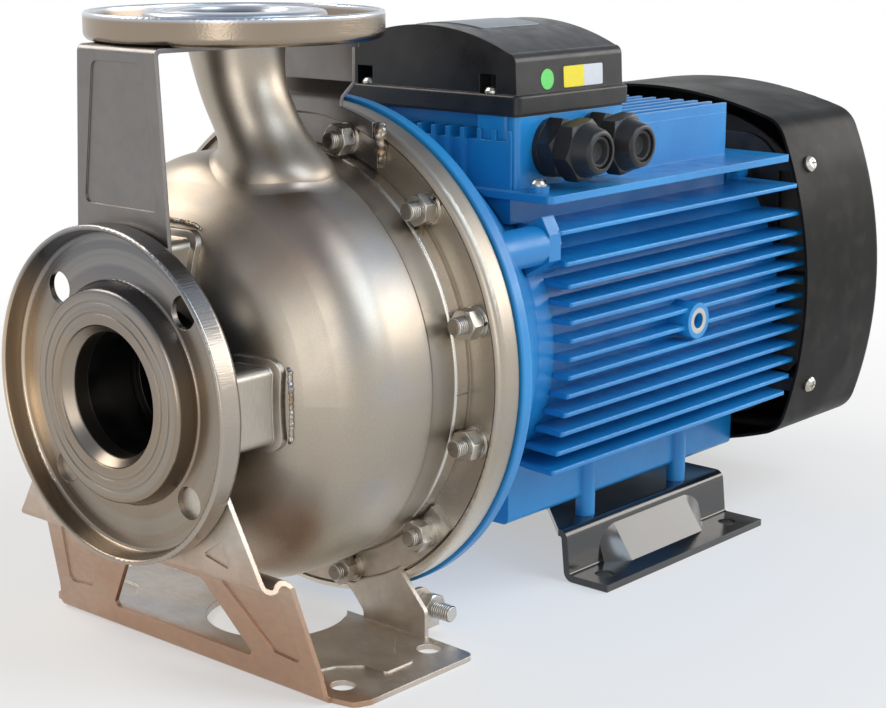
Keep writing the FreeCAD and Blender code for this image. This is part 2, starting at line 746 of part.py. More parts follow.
def brace():
    """The strut above the suction pipe: a channel open towards the shaft, with a flared pad."""
    low = AXIS_HEIGHT + BRACE_INNER_R
    high = AXIS_HEIGHT + BRACE_OUTER_R
    channel = prism_y([(-BRACE_HALF, low), (-BRACE_HALF, high, 5.0), (BRACE_HALF, high, 5.0),
                       (BRACE_HALF, low), (BRACE_HALF - BRACE_SHEET, low),
                       (BRACE_HALF - BRACE_SHEET, high - BRACE_SHEET, 2.5),
                       (BRACE_SHEET - BRACE_HALF, high - BRACE_SHEET, 2.5),
                       (BRACE_SHEET - BRACE_HALF, low)], FLANGE_BACK_Y + BRACKET_SHEET, 0.0)
    pad = prism_y([(-BRACE_HALF - BRACE_FLARE, low - 2), (-BRACE_HALF - BRACE_FLARE, high + BRACE_FLARE, 9.0),
                   (BRACE_HALF + BRACE_FLARE, high + BRACE_FLARE, 9.0), (BRACE_HALF + BRACE_FLARE, low - 2),
                   (BRACE_HALF - 5, low - 2), (BRACE_HALF - 5, high - 5, 3.0),
                   (5 - BRACE_HALF, high - 5, 3.0), (5 - BRACE_HALF, low - 2)], FLANGE_BACK_Y + 20, 0.0)
    pad = pad.common(bowl_outside(BRACE_PAD))
    return fuse([channel, pad]).cut(bowl_outside())


def turned_brace(degrees):
    strut = brace()
    if degrees:
        reach = box(-BRACE_HALF, BRACE_HALF, FLANGE_BACK_Y, FLANGE_BACK_Y + BRACKET_SHEET,
                    AXIS_HEIGHT + BRACE_INNER_R, AXIS_HEIGHT + BRACE_OUTER_R)
        inner = box(BRACE_SHEET - BRACE_HALF, BRACE_HALF - BRACE_SHEET, FLANGE_BACK_Y - 1,
                    FLANGE_BACK_Y + BRACKET_SHEET + 1, AXIS_HEIGHT,
                    AXIS_HEIGHT + BRACE_OUTER_R - BRACE_SHEET)
        strut = fuse([strut, reach.cut(inner)])
    strut.rotate(Vector(0, 0, AXIS_HEIGHT), Vector(0, 1, 0), degrees)
    return strut


# Pump foot


def foot_front_path():
    return [(FOOT_BACK_Y - FOOT_SHEET, 0), (FOOT_FRONT_Y, 0, 5.0), (FOOT_FRONT_Y - 3, 17, 40.0),
            (FOOT_FRONT_Y - 18, FOOT_SHELF_Z + 4, 5.0), (FOOT_FRONT_Y - 27, FOOT_SHELF_Z - 4, 5.0),
            (FLANGE_BACK_Y, FOOT_SHELF_Z, 5.0), (FLANGE_BACK_Y, FOOT_TOP_Z)]


def foot_front():
    sheet = prism_x(sheet_outline(foot_front_path(), -FOOT_SHEET), -FOOT_HALF_PLATE, FOOT_HALF_PLATE)
    panel = prism_y([(-FOOT_HALF_FRONT, -1), (FOOT_HALF_FRONT, -1), (FOOT_SHELF_HALF, FOOT_SHELF_Z - 2),
                     (FOOT_SHELF_HALF - 5, FOOT_SHELF_Z + 6), (FOOT_TOP_HALF, FOOT_TOP_Z + 1),
                     (-FOOT_TOP_HALF, FOOT_TOP_Z + 1), (5 - FOOT_SHELF_HALF, FOOT_SHELF_Z + 6),
                     (-FOOT_SHELF_HALF, FOOT_SHELF_Z - 2)], -SUCTION_LENGTH, FOOT_FRONT_Y + 8)
    window = prism_y([(-61, 14, 3.0), (61, 14, 3.0), (31, FOOT_SHELF_Z - 14, 4.0),
                      (-31, FOOT_SHELF_Z - 14, 4.0)], -SUCTION_LENGTH, FOOT_FRONT_Y + 12)
    sheet = sheet.common(panel).cut(window)
    collar = rod_y(SUCTION_FACE_R + 6, FLANGE_BACK_Y - 1, FLANGE_BACK_Y + FOOT_SHEET + 1)
    sheet = sheet.cut(collar)
    for side in (1, -1):
        press = prism_y([(side * 45, 61, 3.0), (side * 92, 61, 3.0), (side * 99, 20, 4.0),
                         (side * 78, 22, 4.0)], -SUCTION_LENGTH, FOOT_FRONT_Y + 8)
        skin = prism_x(sheet_outline(foot_front_path(), -PANEL_PRESS), -FOOT_HALF_PLATE, FOOT_HALF_PLATE)
        sheet = sheet.cut(press.common(skin))
        notch = prism_y([(side * 57, 81, 1.0), (side * 77, 77, 1.0), (side * 73, 92, 1.0)],
                        FLANGE_BACK_Y - 1, FLANGE_BACK_Y + PANEL_PRESS)
        sheet = sheet.cut(notch)
    return sheet


def foot_plate():
    half = FOOT_HALF_PLATE
    plate = prism_z([(-FOOT_HALF_FRONT, FOOT_FRONT_Y + 4), (FOOT_HALF_FRONT, FOOT_FRONT_Y + 4),
                     (half - 4, FOOT_FRONT_Y + 7, 5.0), (half, FOOT_FRONT_Y + 16, 5.0),
                     (half, FOOT_BACK_Y - 2, 6.0), (FOOT_LEG_HALF, FOOT_BACK_Y), (-FOOT_LEG_HALF, FOOT_BACK_Y),
                     (-half, FOOT_BACK_Y - 2, 6.0), (-half, FOOT_FRONT_Y + 16, 5.0),
                     (4 - half, FOOT_FRONT_Y + 7, 5.0)], 0, FOOT_SHEET)
    middle = FOOT_HOLES_BEHIND_DISCHARGE
    raised = [(78, FOOT_FRONT_Y + 12, 3.0), (86, middle - 20, 4.0), (97, middle - 9, 4.0),
              (FOOT_HALF_FRONT, middle - 8, 3.0), (FOOT_HALF_FRONT, middle + 15, 3.0),
              (97, middle + 16, 4.0), (86, middle + 28, 4.0), (78, FOOT_BACK_Y - 10, 3.0)]
    left = [(-x, y, r) for x, y, r in reversed(raised)]
    pressing = prism_z(raised + left, FOOT_SHEET, FOOT_SHEET + PANEL_PRESS)
    plate = fuse([plate, pressing])
    for x in (-FOOT_HOLE_X, FOOT_HOLE_X):
        for y in (middle - FOOT_HOLE_SPAN / 2, middle + FOOT_HOLE_SPAN / 2):
            plate = plate.cut(rod_z(FOOT_HOLE_R, -1, FOOT_SHEET + 2, x, y))
    return plate


def foot_back():
    """The back panel: its legs cross the rim's crest, its band lies on the flange between studs."""
    front_y = FOOT_BACK_Y - FOOT_SHEET
    leg = prism_y([(FOOT_LEG_INNER, 0), (FOOT_LEG_HALF, 0), (FOOT_LEG_HALF, 19, 5.0), (81, 33, 6.0),
                   (68, 48), (50, 60), (20, 50), (20, 30), (37, 17, 4.0), (FOOT_LEG_INNER, 8, 4.0)],
                  front_y, RIM_FACE_Y)
    legs = fuse(both_sides(leg))
    outside = legs.common(box(-FOOT_HALF_PLATE, FOOT_HALF_PLATE, front_y, FOOT_BACK_Y, 0, AXIS_HEIGHT))
    outside = outside.cut(rod_y(RIM_R, front_y, FOOT_BACK_Y))
    band = ring_y(RIM_FACE_R - 0.5, COLLAR_OUTER_R + 1.0, RIM_FACE_Y - FOOT_SHEET, RIM_FACE_Y)
    reach = RIM_R + 12.5
    fall = AXIS_HEIGHT - 0.8 * reach
    wedge = prism_y([(0, AXIS_HEIGHT), (reach, fall), (reach, -1), (-reach, -1), (-reach, fall)],
                    front_y, RIM_FACE_Y)
    back = fuse([outside, legs.common(flange_lining(FOOT_SHEET)), band.common(wedge)])
    for angle in FOOT_STUD_ANGLES:
        x, z = on_shaft_circle(STUD_CIRCLE_R, angle)
        back = back.cut(rod_y(STUD_HOLE_R, front_y - 1, RIM_FACE_Y, x, z))
        back = back.cut(rod_y(WASHER_R + 0.2, front_y - 1, RIM_FACE_Y - FOOT_SHEET, x, z))
    return back


def pump_foot():
    body = fuse([foot_front(), foot_plate(), foot_back()])
    return body.cut(rod_z(FOOT_CUT_R, -1, FOOT_SHEET + 2, 0, FOOT_CUT_Y)).removeSplitter()


def jack_head_x():
    """The head's inner end, which stands clear of the adapter's flange above it."""
    clear = ADAPTER_FLANGE_R + JACK_R + JACK_RIM_GAP
    drop = AXIS_HEIGHT - JACK_Z
    return math.sqrt(clear * clear - drop * drop)


def jack_lug():
    """The sheet lug behind the foot's right leg that carries the jacking bolt."""
    x1 = jack_head_x() + JACK_LUG_FROM_HEAD
    lug = prism_x([(FOOT_BACK_Y, 0), (JACK_Y + JACK_LUG_HALF, 0), (JACK_Y + JACK_LUG_HALF, JACK_Z, 9.0),
                   (JACK_Y, JACK_Z + JACK_LUG_HALF, 9.0), (FOOT_BACK_Y, JACK_Z + JACK_LUG_HALF)],
                  x1 - FOOT_SHEET, x1)
    return lug.cut(rod_x(JACK_R, x1 - 10, x1 + 10, JACK_Y, JACK_Z))


def jack_bolt():
    shank = threaded_rod(JACK_R, JACK_LENGTH)
    head = laid(hexagon(NUT_FLATS, JACK_HEAD), 0, 0, 0, Vector(0, 0, -1))
    return laid(fuse([shank, head]), jack_head_x(), JACK_Y, JACK_Z, Vector(1, 0, 0))


def jack_nut():
    return laid(nut(JACK_R, NUT_FLATS, NUT_HEIGHT), jack_head_x() + JACK_LUG_FROM_HEAD, JACK_Y, JACK_Z,
                Vector(1, 0, 0), 12.0)


# Back cover and seal


def back_cover():
    path = [(COVER_R, RIM_FACE_Y + SHEET), (COVER_DISH_R, RIM_FACE_Y + SHEET, 2.0),
            (COVER_DISH_R, COVER_FACE_Y, 6.0), (CHAMBER_R, COVER_FACE_Y, 7.0),
            (CHAMBER_R, CHAMBER_BACK_Y, 5.0), (SEAT_HOLE_R, CHAMBER_BACK_Y)]
    body = turned(sheet_outline(path, -COVER_SHEET))
    return body.cut(stud_holes(STUD_HOLE_R, RIM_FACE_Y, ADAPTER_CONE_Y))


def casing_oring():
    band_bore_r = BOWL_R - BAND_STEP - SHEET
    section_r = (band_bore_r - COVER_DISH_R) / 2 - 0.02
    centre_r = (band_bore_r + COVER_DISH_R) / 2
    return Part.makeTorus(centre_r, section_r, Vector(0, RIM_FACE_Y - 4, AXIS_HEIGHT), Vector(0, 1, 0))


SEAT_FACE_Y = CHAMBER_BACK_Y - SEAT_LENGTH
SEAL_RING_FRONT_Y = SEAT_FACE_Y - SEAL_GAP - SEAL_RING_LENGTH
IMPELLER_BACK_Y = IMPELLER_OUTLET / 2 + IMPELLER_SHEET
IMPELLER_HUB_END_Y = COVER_FACE_Y - 4.0


def seal_seat():
    return turned([(SEAT_BORE_R, SEAT_FACE_Y, 0.8), (SEAT_R, SEAT_FACE_Y, 1.5), (SEAT_R, CHAMBER_BACK_Y),
                   (SEAT_HOLE_R, CHAMBER_BACK_Y), (SEAT_HOLE_R, CHAMBER_BACK_Y + COVER_SHEET),
                   (SEAT_BORE_R, CHAMBER_BACK_Y + COVER_SHEET)])


def seal_ring():
    y0 = SEAL_RING_FRONT_Y
    return turned([(SEAL_SHAFT_R, y0), (SEAL_RING_R, y0, 0.8), (SEAL_RING_R, y0 + 4, 0.8),
                   (SEAL_RING_R - 2.5, y0 + 4), (SEAL_RING_R - 2.5, y0 + SEAL_RING_LENGTH),
                   (SEAL_SHAFT_R, y0 + SEAL_RING_LENGTH)])


def seal_bellows():
    y0 = IMPELLER_HUB_END_Y
    length = SEAL_RING_FRONT_Y - y0
    fold = length / (BELLOWS_FOLDS + 0.5)
    outer = [(SEAL_SHAFT_R, y0), (BELLOWS_R, y0)]
    for k in range(BELLOWS_FOLDS):
        y = y0 + fold * (k + 0.5)
        outer.append((BELLOWS_R, y, fold * 0.2))
        outer.append((BELLOWS_R - 2.6, y + fold * 0.3, fold * 0.12))
        outer.append((BELLOWS_R, y + fold * 0.6, fold * 0.2))
    outer.append((BELLOWS_R, y0 + length))
    outer.append((SEAL_SHAFT_R, y0 + length))
    return turned(outer)


# Impeller and wear ring


def front_shroud_path():
    return [(IMPELLER_EYE_R, IMPELLER_EYE_Y), (IMPELLER_EYE_R, -IMPELLER_OUTLET, 15.0),
            (IMPELLER_R, -IMPELLER_OUTLET / 2 - IMPELLER_SHEET)]


def vane():
    """One backward-curved vane: an arc about a centre beside the shaft."""
    reach = VANE_BEND_R + VANE_THICK / 2
    ring = rod_y(reach, -40, IMPELLER_OUTLET / 2 + 1, VANE_BEND_OFFSET, AXIS_HEIGHT)
    ring = ring.cut(rod_y(reach - VANE_THICK, -41, IMPELLER_OUTLET / 2 + 2, VANE_BEND_OFFSET, AXIS_HEIGHT))
    upper = box(-IMPELLER_R, IMPELLER_R * 2, -45, IMPELLER_OUTLET, AXIS_HEIGHT, AXIS_HEIGHT + IMPELLER_R)
    annulus = ring_y(IMPELLER_R - 1, IMPELLER_EYE_R - 4, -45, IMPELLER_OUTLET)
    return ring.common(upper).common(annulus)


def impeller():
    front = turned(sheet_outline(front_shroud_path(), IMPELLER_SHEET))
    back = turned([(IMPELLER_SEAT_R, IMPELLER_OUTLET / 2), (IMPELLER_R, IMPELLER_OUTLET / 2),
                   (IMPELLER_R, IMPELLER_BACK_Y), (IMPELLER_SEAT_R, IMPELLER_BACK_Y)])
    hub = turned([(IMPELLER_SEAT_R, IMPELLER_HUB_Y), (IMPELLER_HUB_R - 4, IMPELLER_HUB_Y, 2.0),
                  (IMPELLER_HUB_R, IMPELLER_OUTLET / 2, 8.0), (IMPELLER_HUB_R, IMPELLER_HUB_END_Y),
                  (IMPELLER_SEAT_R, IMPELLER_HUB_END_Y)])
    inner = offset_path(front_shroud_path(), IMPELLER_SHEET * 0.6)
    between = turned([(0, IMPELLER_EYE_Y)] + inner + [(IMPELLER_R, IMPELLER_OUTLET / 2 + 0.5),
                                                     (0, IMPELLER_OUTLET / 2 + 0.5)])
    pieces = [front, back, hub]
    for k in range(VANE_COUNT):
        blade = vane().common(between)
        blade.rotate(Vector(0, 0, AXIS_HEIGHT), Vector(0, 1, 0), 360.0 / VANE_COUNT * k)
        pieces.append(blade)
    return fuse(pieces).cut(shaft_key())


def wear_ring():
    inner_r = IMPELLER_EYE_R + WEAR_GAP
    y0 = BOWL_FRONT_Y + SHEET
    return turned([(inner_r, y0), (inner_r + WEAR_RING_THICK * 2, y0), (inner_r + WEAR_RING_THICK * 2, y0 + 3),
                   (inner_r + WEAR_RING_THICK, y0 + 5, 2.0), (inner_r + WEAR_RING_THICK, y0 + 17, 1.0),
                   (inner_r, y0 + 17, 1.0)])


def impeller_washer():
    return laid(washer(14.0, SHAFT_THREAD_R + 0.1, 2.5), 0, IMPELLER_HUB_Y, AXIS_HEIGHT, Vector(0, -1, 0))


def impeller_nut():
    height = 13.0
    body = hexagon(24.0, height, True, True)
    dome = turned_about_z([(0, height - 0.5), (10.0, height - 0.5), (8.0, height + 5, 4.0), (0, height + 6)])
    body = fuse([body, dome]).cut(rod_z(SHAFT_THREAD_R, -1, height + 2))
    return laid(body, 0, IMPELLER_HUB_Y - 2.5, AXIS_HEIGHT, Vector(0, -1, 0))


# Shaft, bearings and rotor

FRONT_BEARING_Y = 118.0
REAR_BEARING_Y = FRAME_BACK_Y - 8.0


def shaft_key():
    y1 = IMPELLER_HUB_END_Y - 4.0
    z0 = AXIS_HEIGHT + IMPELLER_SEAT_R - KEY_HEIGHT / 2 - 0.5
    return box(-KEY_WIDTH / 2, KEY_WIDTH / 2, y1 - KEY_LENGTH, y1, z0, z0 + KEY_HEIGHT)


def motor_shaft():
    tip = IMPELLER_HUB_Y
    rear = REAR_BEARING_Y + REAR_BEARING_WIDTH
    body = turned([
        (0, SHAFT_TIP_Y + 5.0), (SHAFT_THREAD_R - 1, SHAFT_TIP_Y + 5.0), (SHAFT_THREAD_R, SHAFT_TIP_Y + 6.0),
        (SHAFT_THREAD_R, tip), (IMPELLER_SEAT_R, tip), (IMPELLER_SEAT_R, IMPELLER_HUB_END_Y),
        (SEAL_SHAFT_R, IMPELLER_HUB_END_Y), (SEAL_SHAFT_R, CHAMBER_BACK_Y + 14),
        (SHAFT_LANTERN_R, CHAMBER_BACK_Y + 16), (SHAFT_LANTERN_R, FRONT_BEARING_Y - 12),
        (FRONT_BEARING_R - RUNNING_FIT, FRONT_BEARING_Y - 8),
        (FRONT_BEARING_R - RUNNING_FIT, FRONT_BEARING_Y + FRONT_BEARING_WIDTH),
        (ROTOR_SEAT_R, FRONT_BEARING_Y + FRONT_BEARING_WIDTH + 1), (ROTOR_SEAT_R, REAR_BEARING_Y - 1),
        (REAR_BEARING_R - RUNNING_FIT, REAR_BEARING_Y), (REAR_BEARING_R - RUNNING_FIT, rear),
        (FAN_SEAT_R, rear + 1), (FAN_SEAT_R, FAN_Y[1] - 8, 1.5), (0, FAN_Y[1] - 8)])
    return body.cut(shaft_key())


def bearing(bore_r, outer_r, y0, width):
    middle_r = (bore_r + outer_r) / 2
    ball_r = (outer_r - bore_r) * 0.29
    race = (outer_r - bore_r) * 0.3
    inner = ring_y(bore_r + race, bore_r, y0, y0 + width)
    outer = ring_y(outer_r, outer_r - race, y0, y0 + width)
    groove = Part.makeTorus(middle_r, ball_r + 0.05, Vector(0, y0 + width / 2, AXIS_HEIGHT), Vector(0, 1, 0))
    solids = [inner.cut(groove), outer.cut(groove)]
    for k in range(BALL_COUNT):
        x, z = on_shaft_circle(middle_r, 360.0 / BALL_COUNT * k)
        solids.append(Part.makeSphere(ball_r, Vector(x, y0 + width / 2, z)))
    return solids


def front_bearing():
    return bearing(FRONT_BEARING_R, FRONT_BEARING_OUTER_R, FRONT_BEARING_Y, FRONT_BEARING_WIDTH)


def rear_bearing():
    return bearing(REAR_BEARING_R, REAR_BEARING_OUTER_R, REAR_BEARING_Y, REAR_BEARING_WIDTH)


def rotor_core():
    outer_r = STATOR_BORE_R - AIR_GAP
    y0, y1 = STATOR_Y
    core = ring_y(outer_r, ROTOR_SEAT_R, y0, y1)
    rings = [ring_y(outer_r - 3, outer_r - 18, y0 - END_RING_LENGTH, y0),
             ring_y(outer_r - 3, outer_r - 18, y1, y1 + END_RING_LENGTH)]
    return fuse([core] + rings)


def stator_core():
    return ring_y(FRAME_BORE_R, STATOR_BORE_R, *STATOR_Y)


def stator_windings():
    inner_r, outer_r = WINDING_R
    solids = []
    for y0, y1 in ((STATOR_Y[0] - WINDING_LENGTH, STATOR_Y[0]), (STATOR_Y[1], STATOR_Y[1] + WINDING_LENGTH)):
        solids.append(turned([(inner_r, y0, 5.0), (outer_r, y0, 5.0), (outer_r, y1), (inner_r, y1)]))
    return solids


# Motor adapter


def adapter_outside(clearance=0.0):
    c = clearance
    return turned([(0, ADAPTER_FLANGE_Y), (ADAPTER_FLANGE_R + c, ADAPTER_FLANGE_Y),
                   (ADAPTER_FLANGE_R + c, ADAPTER_CONE_Y + c), (ADAPTER_NECK_R + c, ADAPTER_NECK_Y + c, 8.0),
                   (ADAPTER_NECK_R + c, FRAME_FRONT_Y), (0, FRAME_FRONT_Y)])


def motor_adapter():
    cover_back = RIM_FACE_Y + SHEET + COVER_SHEET
    wall = ADAPTER_WALL
    web_y = FRONT_BEARING_Y - 6
    hub_r = FRONT_BEARING_OUTER_R + 9
    spigot_end = FRAME_FRONT_Y + FRAME_SPIGOT
    shell = turned([
        (COVER_DISH_R + 5, cover_back), (ADAPTER_SPIGOT_R, cover_back, 0.8),
        (ADAPTER_SPIGOT_R, ADAPTER_FLANGE_Y), (ADAPTER_FLANGE_R, ADAPTER_FLANGE_Y, 1.2),
        (ADAPTER_FLANGE_R, ADAPTER_CONE_Y, 2.0), (ADAPTER_NECK_R, ADAPTER_NECK_Y, 8.0),
        (ADAPTER_NECK_R, FRAME_FRONT_Y), (FRAME_BORE_R, FRAME_FRONT_Y), (FRAME_BORE_R, spigot_end),
        (FRAME_BORE_R - wall, spigot_end), (FRAME_BORE_R - wall, FRONT_BEARING_Y + 4, 4.0),
        (hub_r, FRONT_BEARING_Y + 4, 4.0), (hub_r, FRONT_BEARING_Y + FRONT_BEARING_WIDTH),
        (FRONT_BEARING_OUTER_R, FRONT_BEARING_Y + FRONT_BEARING_WIDTH),
        (FRONT_BEARING_OUTER_R, FRONT_BEARING_Y), (ROTOR_SEAT_R + 4, FRONT_BEARING_Y),
        (ROTOR_SEAT_R + 4, web_y), (FRAME_BORE_R - wall - 2, web_y, 6.0),
        (COVER_DISH_R + 5, ADAPTER_CONE_Y + 2, 6.0)])
    pieces = [shell]
    for angle in ADAPTER_BOSS_ANGLES:
        x, z = on_shaft_circle(ADAPTER_BOSS_CIRCLE_R, angle)
        boss = rod_y(ADAPTER_BOSS_R, ADAPTER_CONE_Y - 3, ADAPTER_BOSS_END_Y, x, z)
        pieces.append(boss.cut(rod_y(ADAPTER_FLANGE_R - 30, ADAPTER_CONE_Y - 3, ADAPTER_BOSS_END_Y)))
    body = fuse(pieces)
    body = body.cut(stud_holes(STUD_R, cover_back - 1, ADAPTER_CONE_Y - 2))
    for angle in ADAPTER_BOSS_ANGLES:
        x, z = on_shaft_circle(ADAPTER_BOSS_CIRCLE_R, angle)
        body = body.cut(rod_y(ADAPTER_BOLT_R, ADAPTER_BOSS_END_Y - 22, ADAPTER_BOSS_END_Y + 1, x, z))
    return body


LUG_BACK_Y = ADAPTER_BOSS_END_Y + 11.0
LUG_REACH = 12.5


def adapter_bolts():
    bolts = []
    for angle in ADAPTER_BOSS_ANGLES:
        x, z = on_shaft_circle(ADAPTER_BOSS_CIRCLE_R, angle)
        screw = hex_screw(ADAPTER_BOLT_R, LUG_BACK_Y - ADAPTER_BOSS_END_Y + 21, 12.0, 5.5)
        bolts.append(laid(screw, x, LUG_BACK_Y, z, Vector(0, 1, 0)))
    return bolts


# Motor frame


def fin_heights():
    return [FIN_MID_Z + FIN_PITCH * k for k in range(-FINS_BELOW_MID, FINS_ABOVE_MID + 1)] + list(UPPER_FINS_Z)


def side_fin(z):
    front = FIN_FRONT_Y - (z - FIN_MID_Z) ** 2 / (2 * FIN_FRONT_SWEEP_R)
    back = FIN_BACK_Y - (z - FIN_MID_Z) ** 2 / (2 * FIN_BACK_SWEEP_R)
    root_x = 60.0
    plan = prism_z([(root_x, FRAME_FRONT_Y), (FRAME_BORE_R, min(front + 3, FRAME_FRONT_Y)),
                    (FIN_TIP_X, front, 2.0), (FIN_TIP_X, back, 2.0), (root_x, FRAME_BACK_Y - 3)],
                   z - FIN_ROOT, z + FIN_ROOT)
    section = prism_y([(root_x, z - FIN_ROOT / 2), (FIN_TIP_X, z - FIN_TIP / 2, 1.0),
                       (FIN_TIP_X, z + FIN_TIP / 2, 1.0), (root_x, z + FIN_ROOT / 2)],
                      front - 10, back + 10)
    return plan.common(section)


def frame_block():
    outer_r = FRAME_BORE_R + FRAME_WALL
    tube = rod_y(outer_r, FRAME_FRONT_Y, FRAME_BACK_Y)
    bottom = prism_y([(-BOTTOM_HALF, BOTTOM_Z, 4.0), (BOTTOM_HALF, BOTTOM_Z, 4.0), (BOTTOM_HALF, AXIS_HEIGHT),
                      (-BOTTOM_HALF, AXIS_HEIGHT)], FRAME_FRONT_Y, FRAME_BACK_Y)
    deck = box(-DECK_HALF, DECK_HALF, DECK_FRONT_Y, DECK_BACK_Y, SHELF_Z - 20, DECK_Z)
    shelf = prism_z([(-FIN_TIP_X, SHELF_FRONT_Y, 4.0), (FIN_TIP_X, SHELF_FRONT_Y, 4.0),
                     (FIN_TIP_X, SHELF_BACK_Y, 3.0), (-FIN_TIP_X, SHELF_BACK_Y, 3.0)],
                    SHELF_Z - SHELF_THICK, SHELF_Z)
    return [tube, bottom, deck, shelf]


def deck_ribs():
    ribs = []
    count = int(DECK_HALF / RIB_PITCH)
    for k in range(-count, count + 1):
        x = k * RIB_PITCH
        ribs.append(box(x - RIB_THICK / 2, x + RIB_THICK / 2, DECK_FRONT_Y, DECK_BACK_Y, DECK_Z - 2,
                        DECK_Z + RIB_HEIGHT))
    return ribs


def front_ribs():
    """Upright ribs that close the deck's front end below the terminal box."""
    ribs = []
    count = int(DECK_HALF / RIB_PITCH)
    for k in range(-count, count + 1):
        x = k * RIB_PITCH
        if x > BOX_X[1] - 2 * LID_POCKET - 10:
            continue
        ribs.append(box(x - RIB_THICK / 2, x + RIB_THICK / 2, DECK_FRONT_Y - 2, BOX_Y[0] + 8, SHELF_Z - 20,
                        DECK_Z + RIB_HEIGHT))
    return ribs


def frame_lug(degrees):
    """A lug in front of the frame that takes one adapter bolt; it runs back into the frame."""
    front = ADAPTER_BOSS_END_Y + 0.3
    outer = ADAPTER_BOSS_CIRCLE_R + LUG_REACH
    lug = box(-LUG_REACH, LUG_REACH, front, LUG_BACK_Y, AXIS_HEIGHT + ADAPTER_NECK_R - 20, AXIS_HEIGHT + outer)
    root = box(-LUG_REACH, LUG_REACH, front, FRAME_FRONT_Y + 10, AXIS_HEIGHT + ADAPTER_NECK_R - 20,
               AXIS_HEIGHT + ADAPTER_BOSS_CIRCLE_R - LUG_REACH + 2)
    lug = fuse([lug, root])
    lug.rotate(Vector(0, 0, AXIS_HEIGHT), Vector(0, 1, 0), 90.0 - degrees)
    return lug.common(box(1 - FIN_TIP_X, FIN_TIP_X - 1, 0, FRAME_BACK_Y, 0, SHELF_Z))


def motor_frame():
    pieces = frame_block() + deck_ribs() + front_ribs()
    for z in fin_heights():
        pieces += both_sides(side_fin(z))
    pieces += both_sides(rod_x(EYE_BOSS_R, FRAME_BORE_R, EYE_BOSS_X, EYE_BOSS_Y, AXIS_HEIGHT))
    for y in POST_Y:
        pieces += both_sides(rod_z(POST_R, MOTOR_FOOT_TOP_Z, AXIS_HEIGHT - 71, POST_X, y))
    pieces += [frame_lug(angle) for angle in ADAPTER_BOSS_ANGLES]
    pieces += [rod_z(6.0, SHELF_Z - 1, SHELF_Z + 4, EARTH_X, EARTH_Y)]
    for x, z in shield_screw_places():
        pieces.append(rod_y(SHIELD_BOSS_R, FRAME_BACK_Y - SHIELD_BOSS_LENGTH, FRAME_BACK_Y, x, z))
    body = fuse(pieces)
    body = body.cut(rod_y(FRAME_BORE_R, 0, FRAME_BACK_Y + 20))
    body = body.cut(rod_y(FRAME_BORE_R + FRAME_WALL + 0.5, FRAME_BACK_Y, FRAME_BACK_Y + 20))
    for x, z in shield_screw_places():
        body = body.cut(rod_y(SHIELD_BOSS_R + 0.5, FRAME_BACK_Y, FRAME_BACK_Y + 20, x, z))
    body = body.cut(adapter_outside(0.5))
    for angle in ADAPTER_BOSS_ANGLES:
        x, z = on_shaft_circle(ADAPTER_BOSS_CIRCLE_R, angle)
        body = body.cut(rod_y(ADAPTER_BOSS_R + 0.5, 0, ADAPTER_BOSS_END_Y + 0.3, x, z))
        body = body.cut(rod_y(ADAPTER_BOLT_R + 0.4, 0, LUG_BACK_Y + 0.01, x, z))
        body = body.cut(rod_y(8.5, LUG_BACK_Y, LUG_BACK_Y + 9, x, z))
    body = body.cut(box_well())
    for sign in (1, -1):
        mouth = EYE_BOSS_X - EYE_THREAD_DEPTH
        body = body.cut(rod_x(EYE_THREAD_R, min(sign * mouth, sign * (EYE_BOSS_X + 1)),
                              max(sign * mouth, sign * (EYE_BOSS_X + 1)), EYE_BOSS_Y, AXIS_HEIGHT))
        for y in POST_Y:
            body = body.cut(rod_z(FOOT_SCREW_R, MOTOR_FOOT_TOP_Z - 1, MOTOR_FOOT_TOP_Z + 22, sign * POST_X, y))
    body = body.cut(rod_z(2.0, SHELF_Z - 3, SHELF_Z + 5, EARTH_X, EARTH_Y))
    for x, z in shield_screw_places():
        body = body.cut(rod_y(SHIELD_SCREW_R, FRAME_BACK_Y - 16, FRAME_BACK_Y + 1, x, z))
    return body.removeSplitter()


# Motor foot


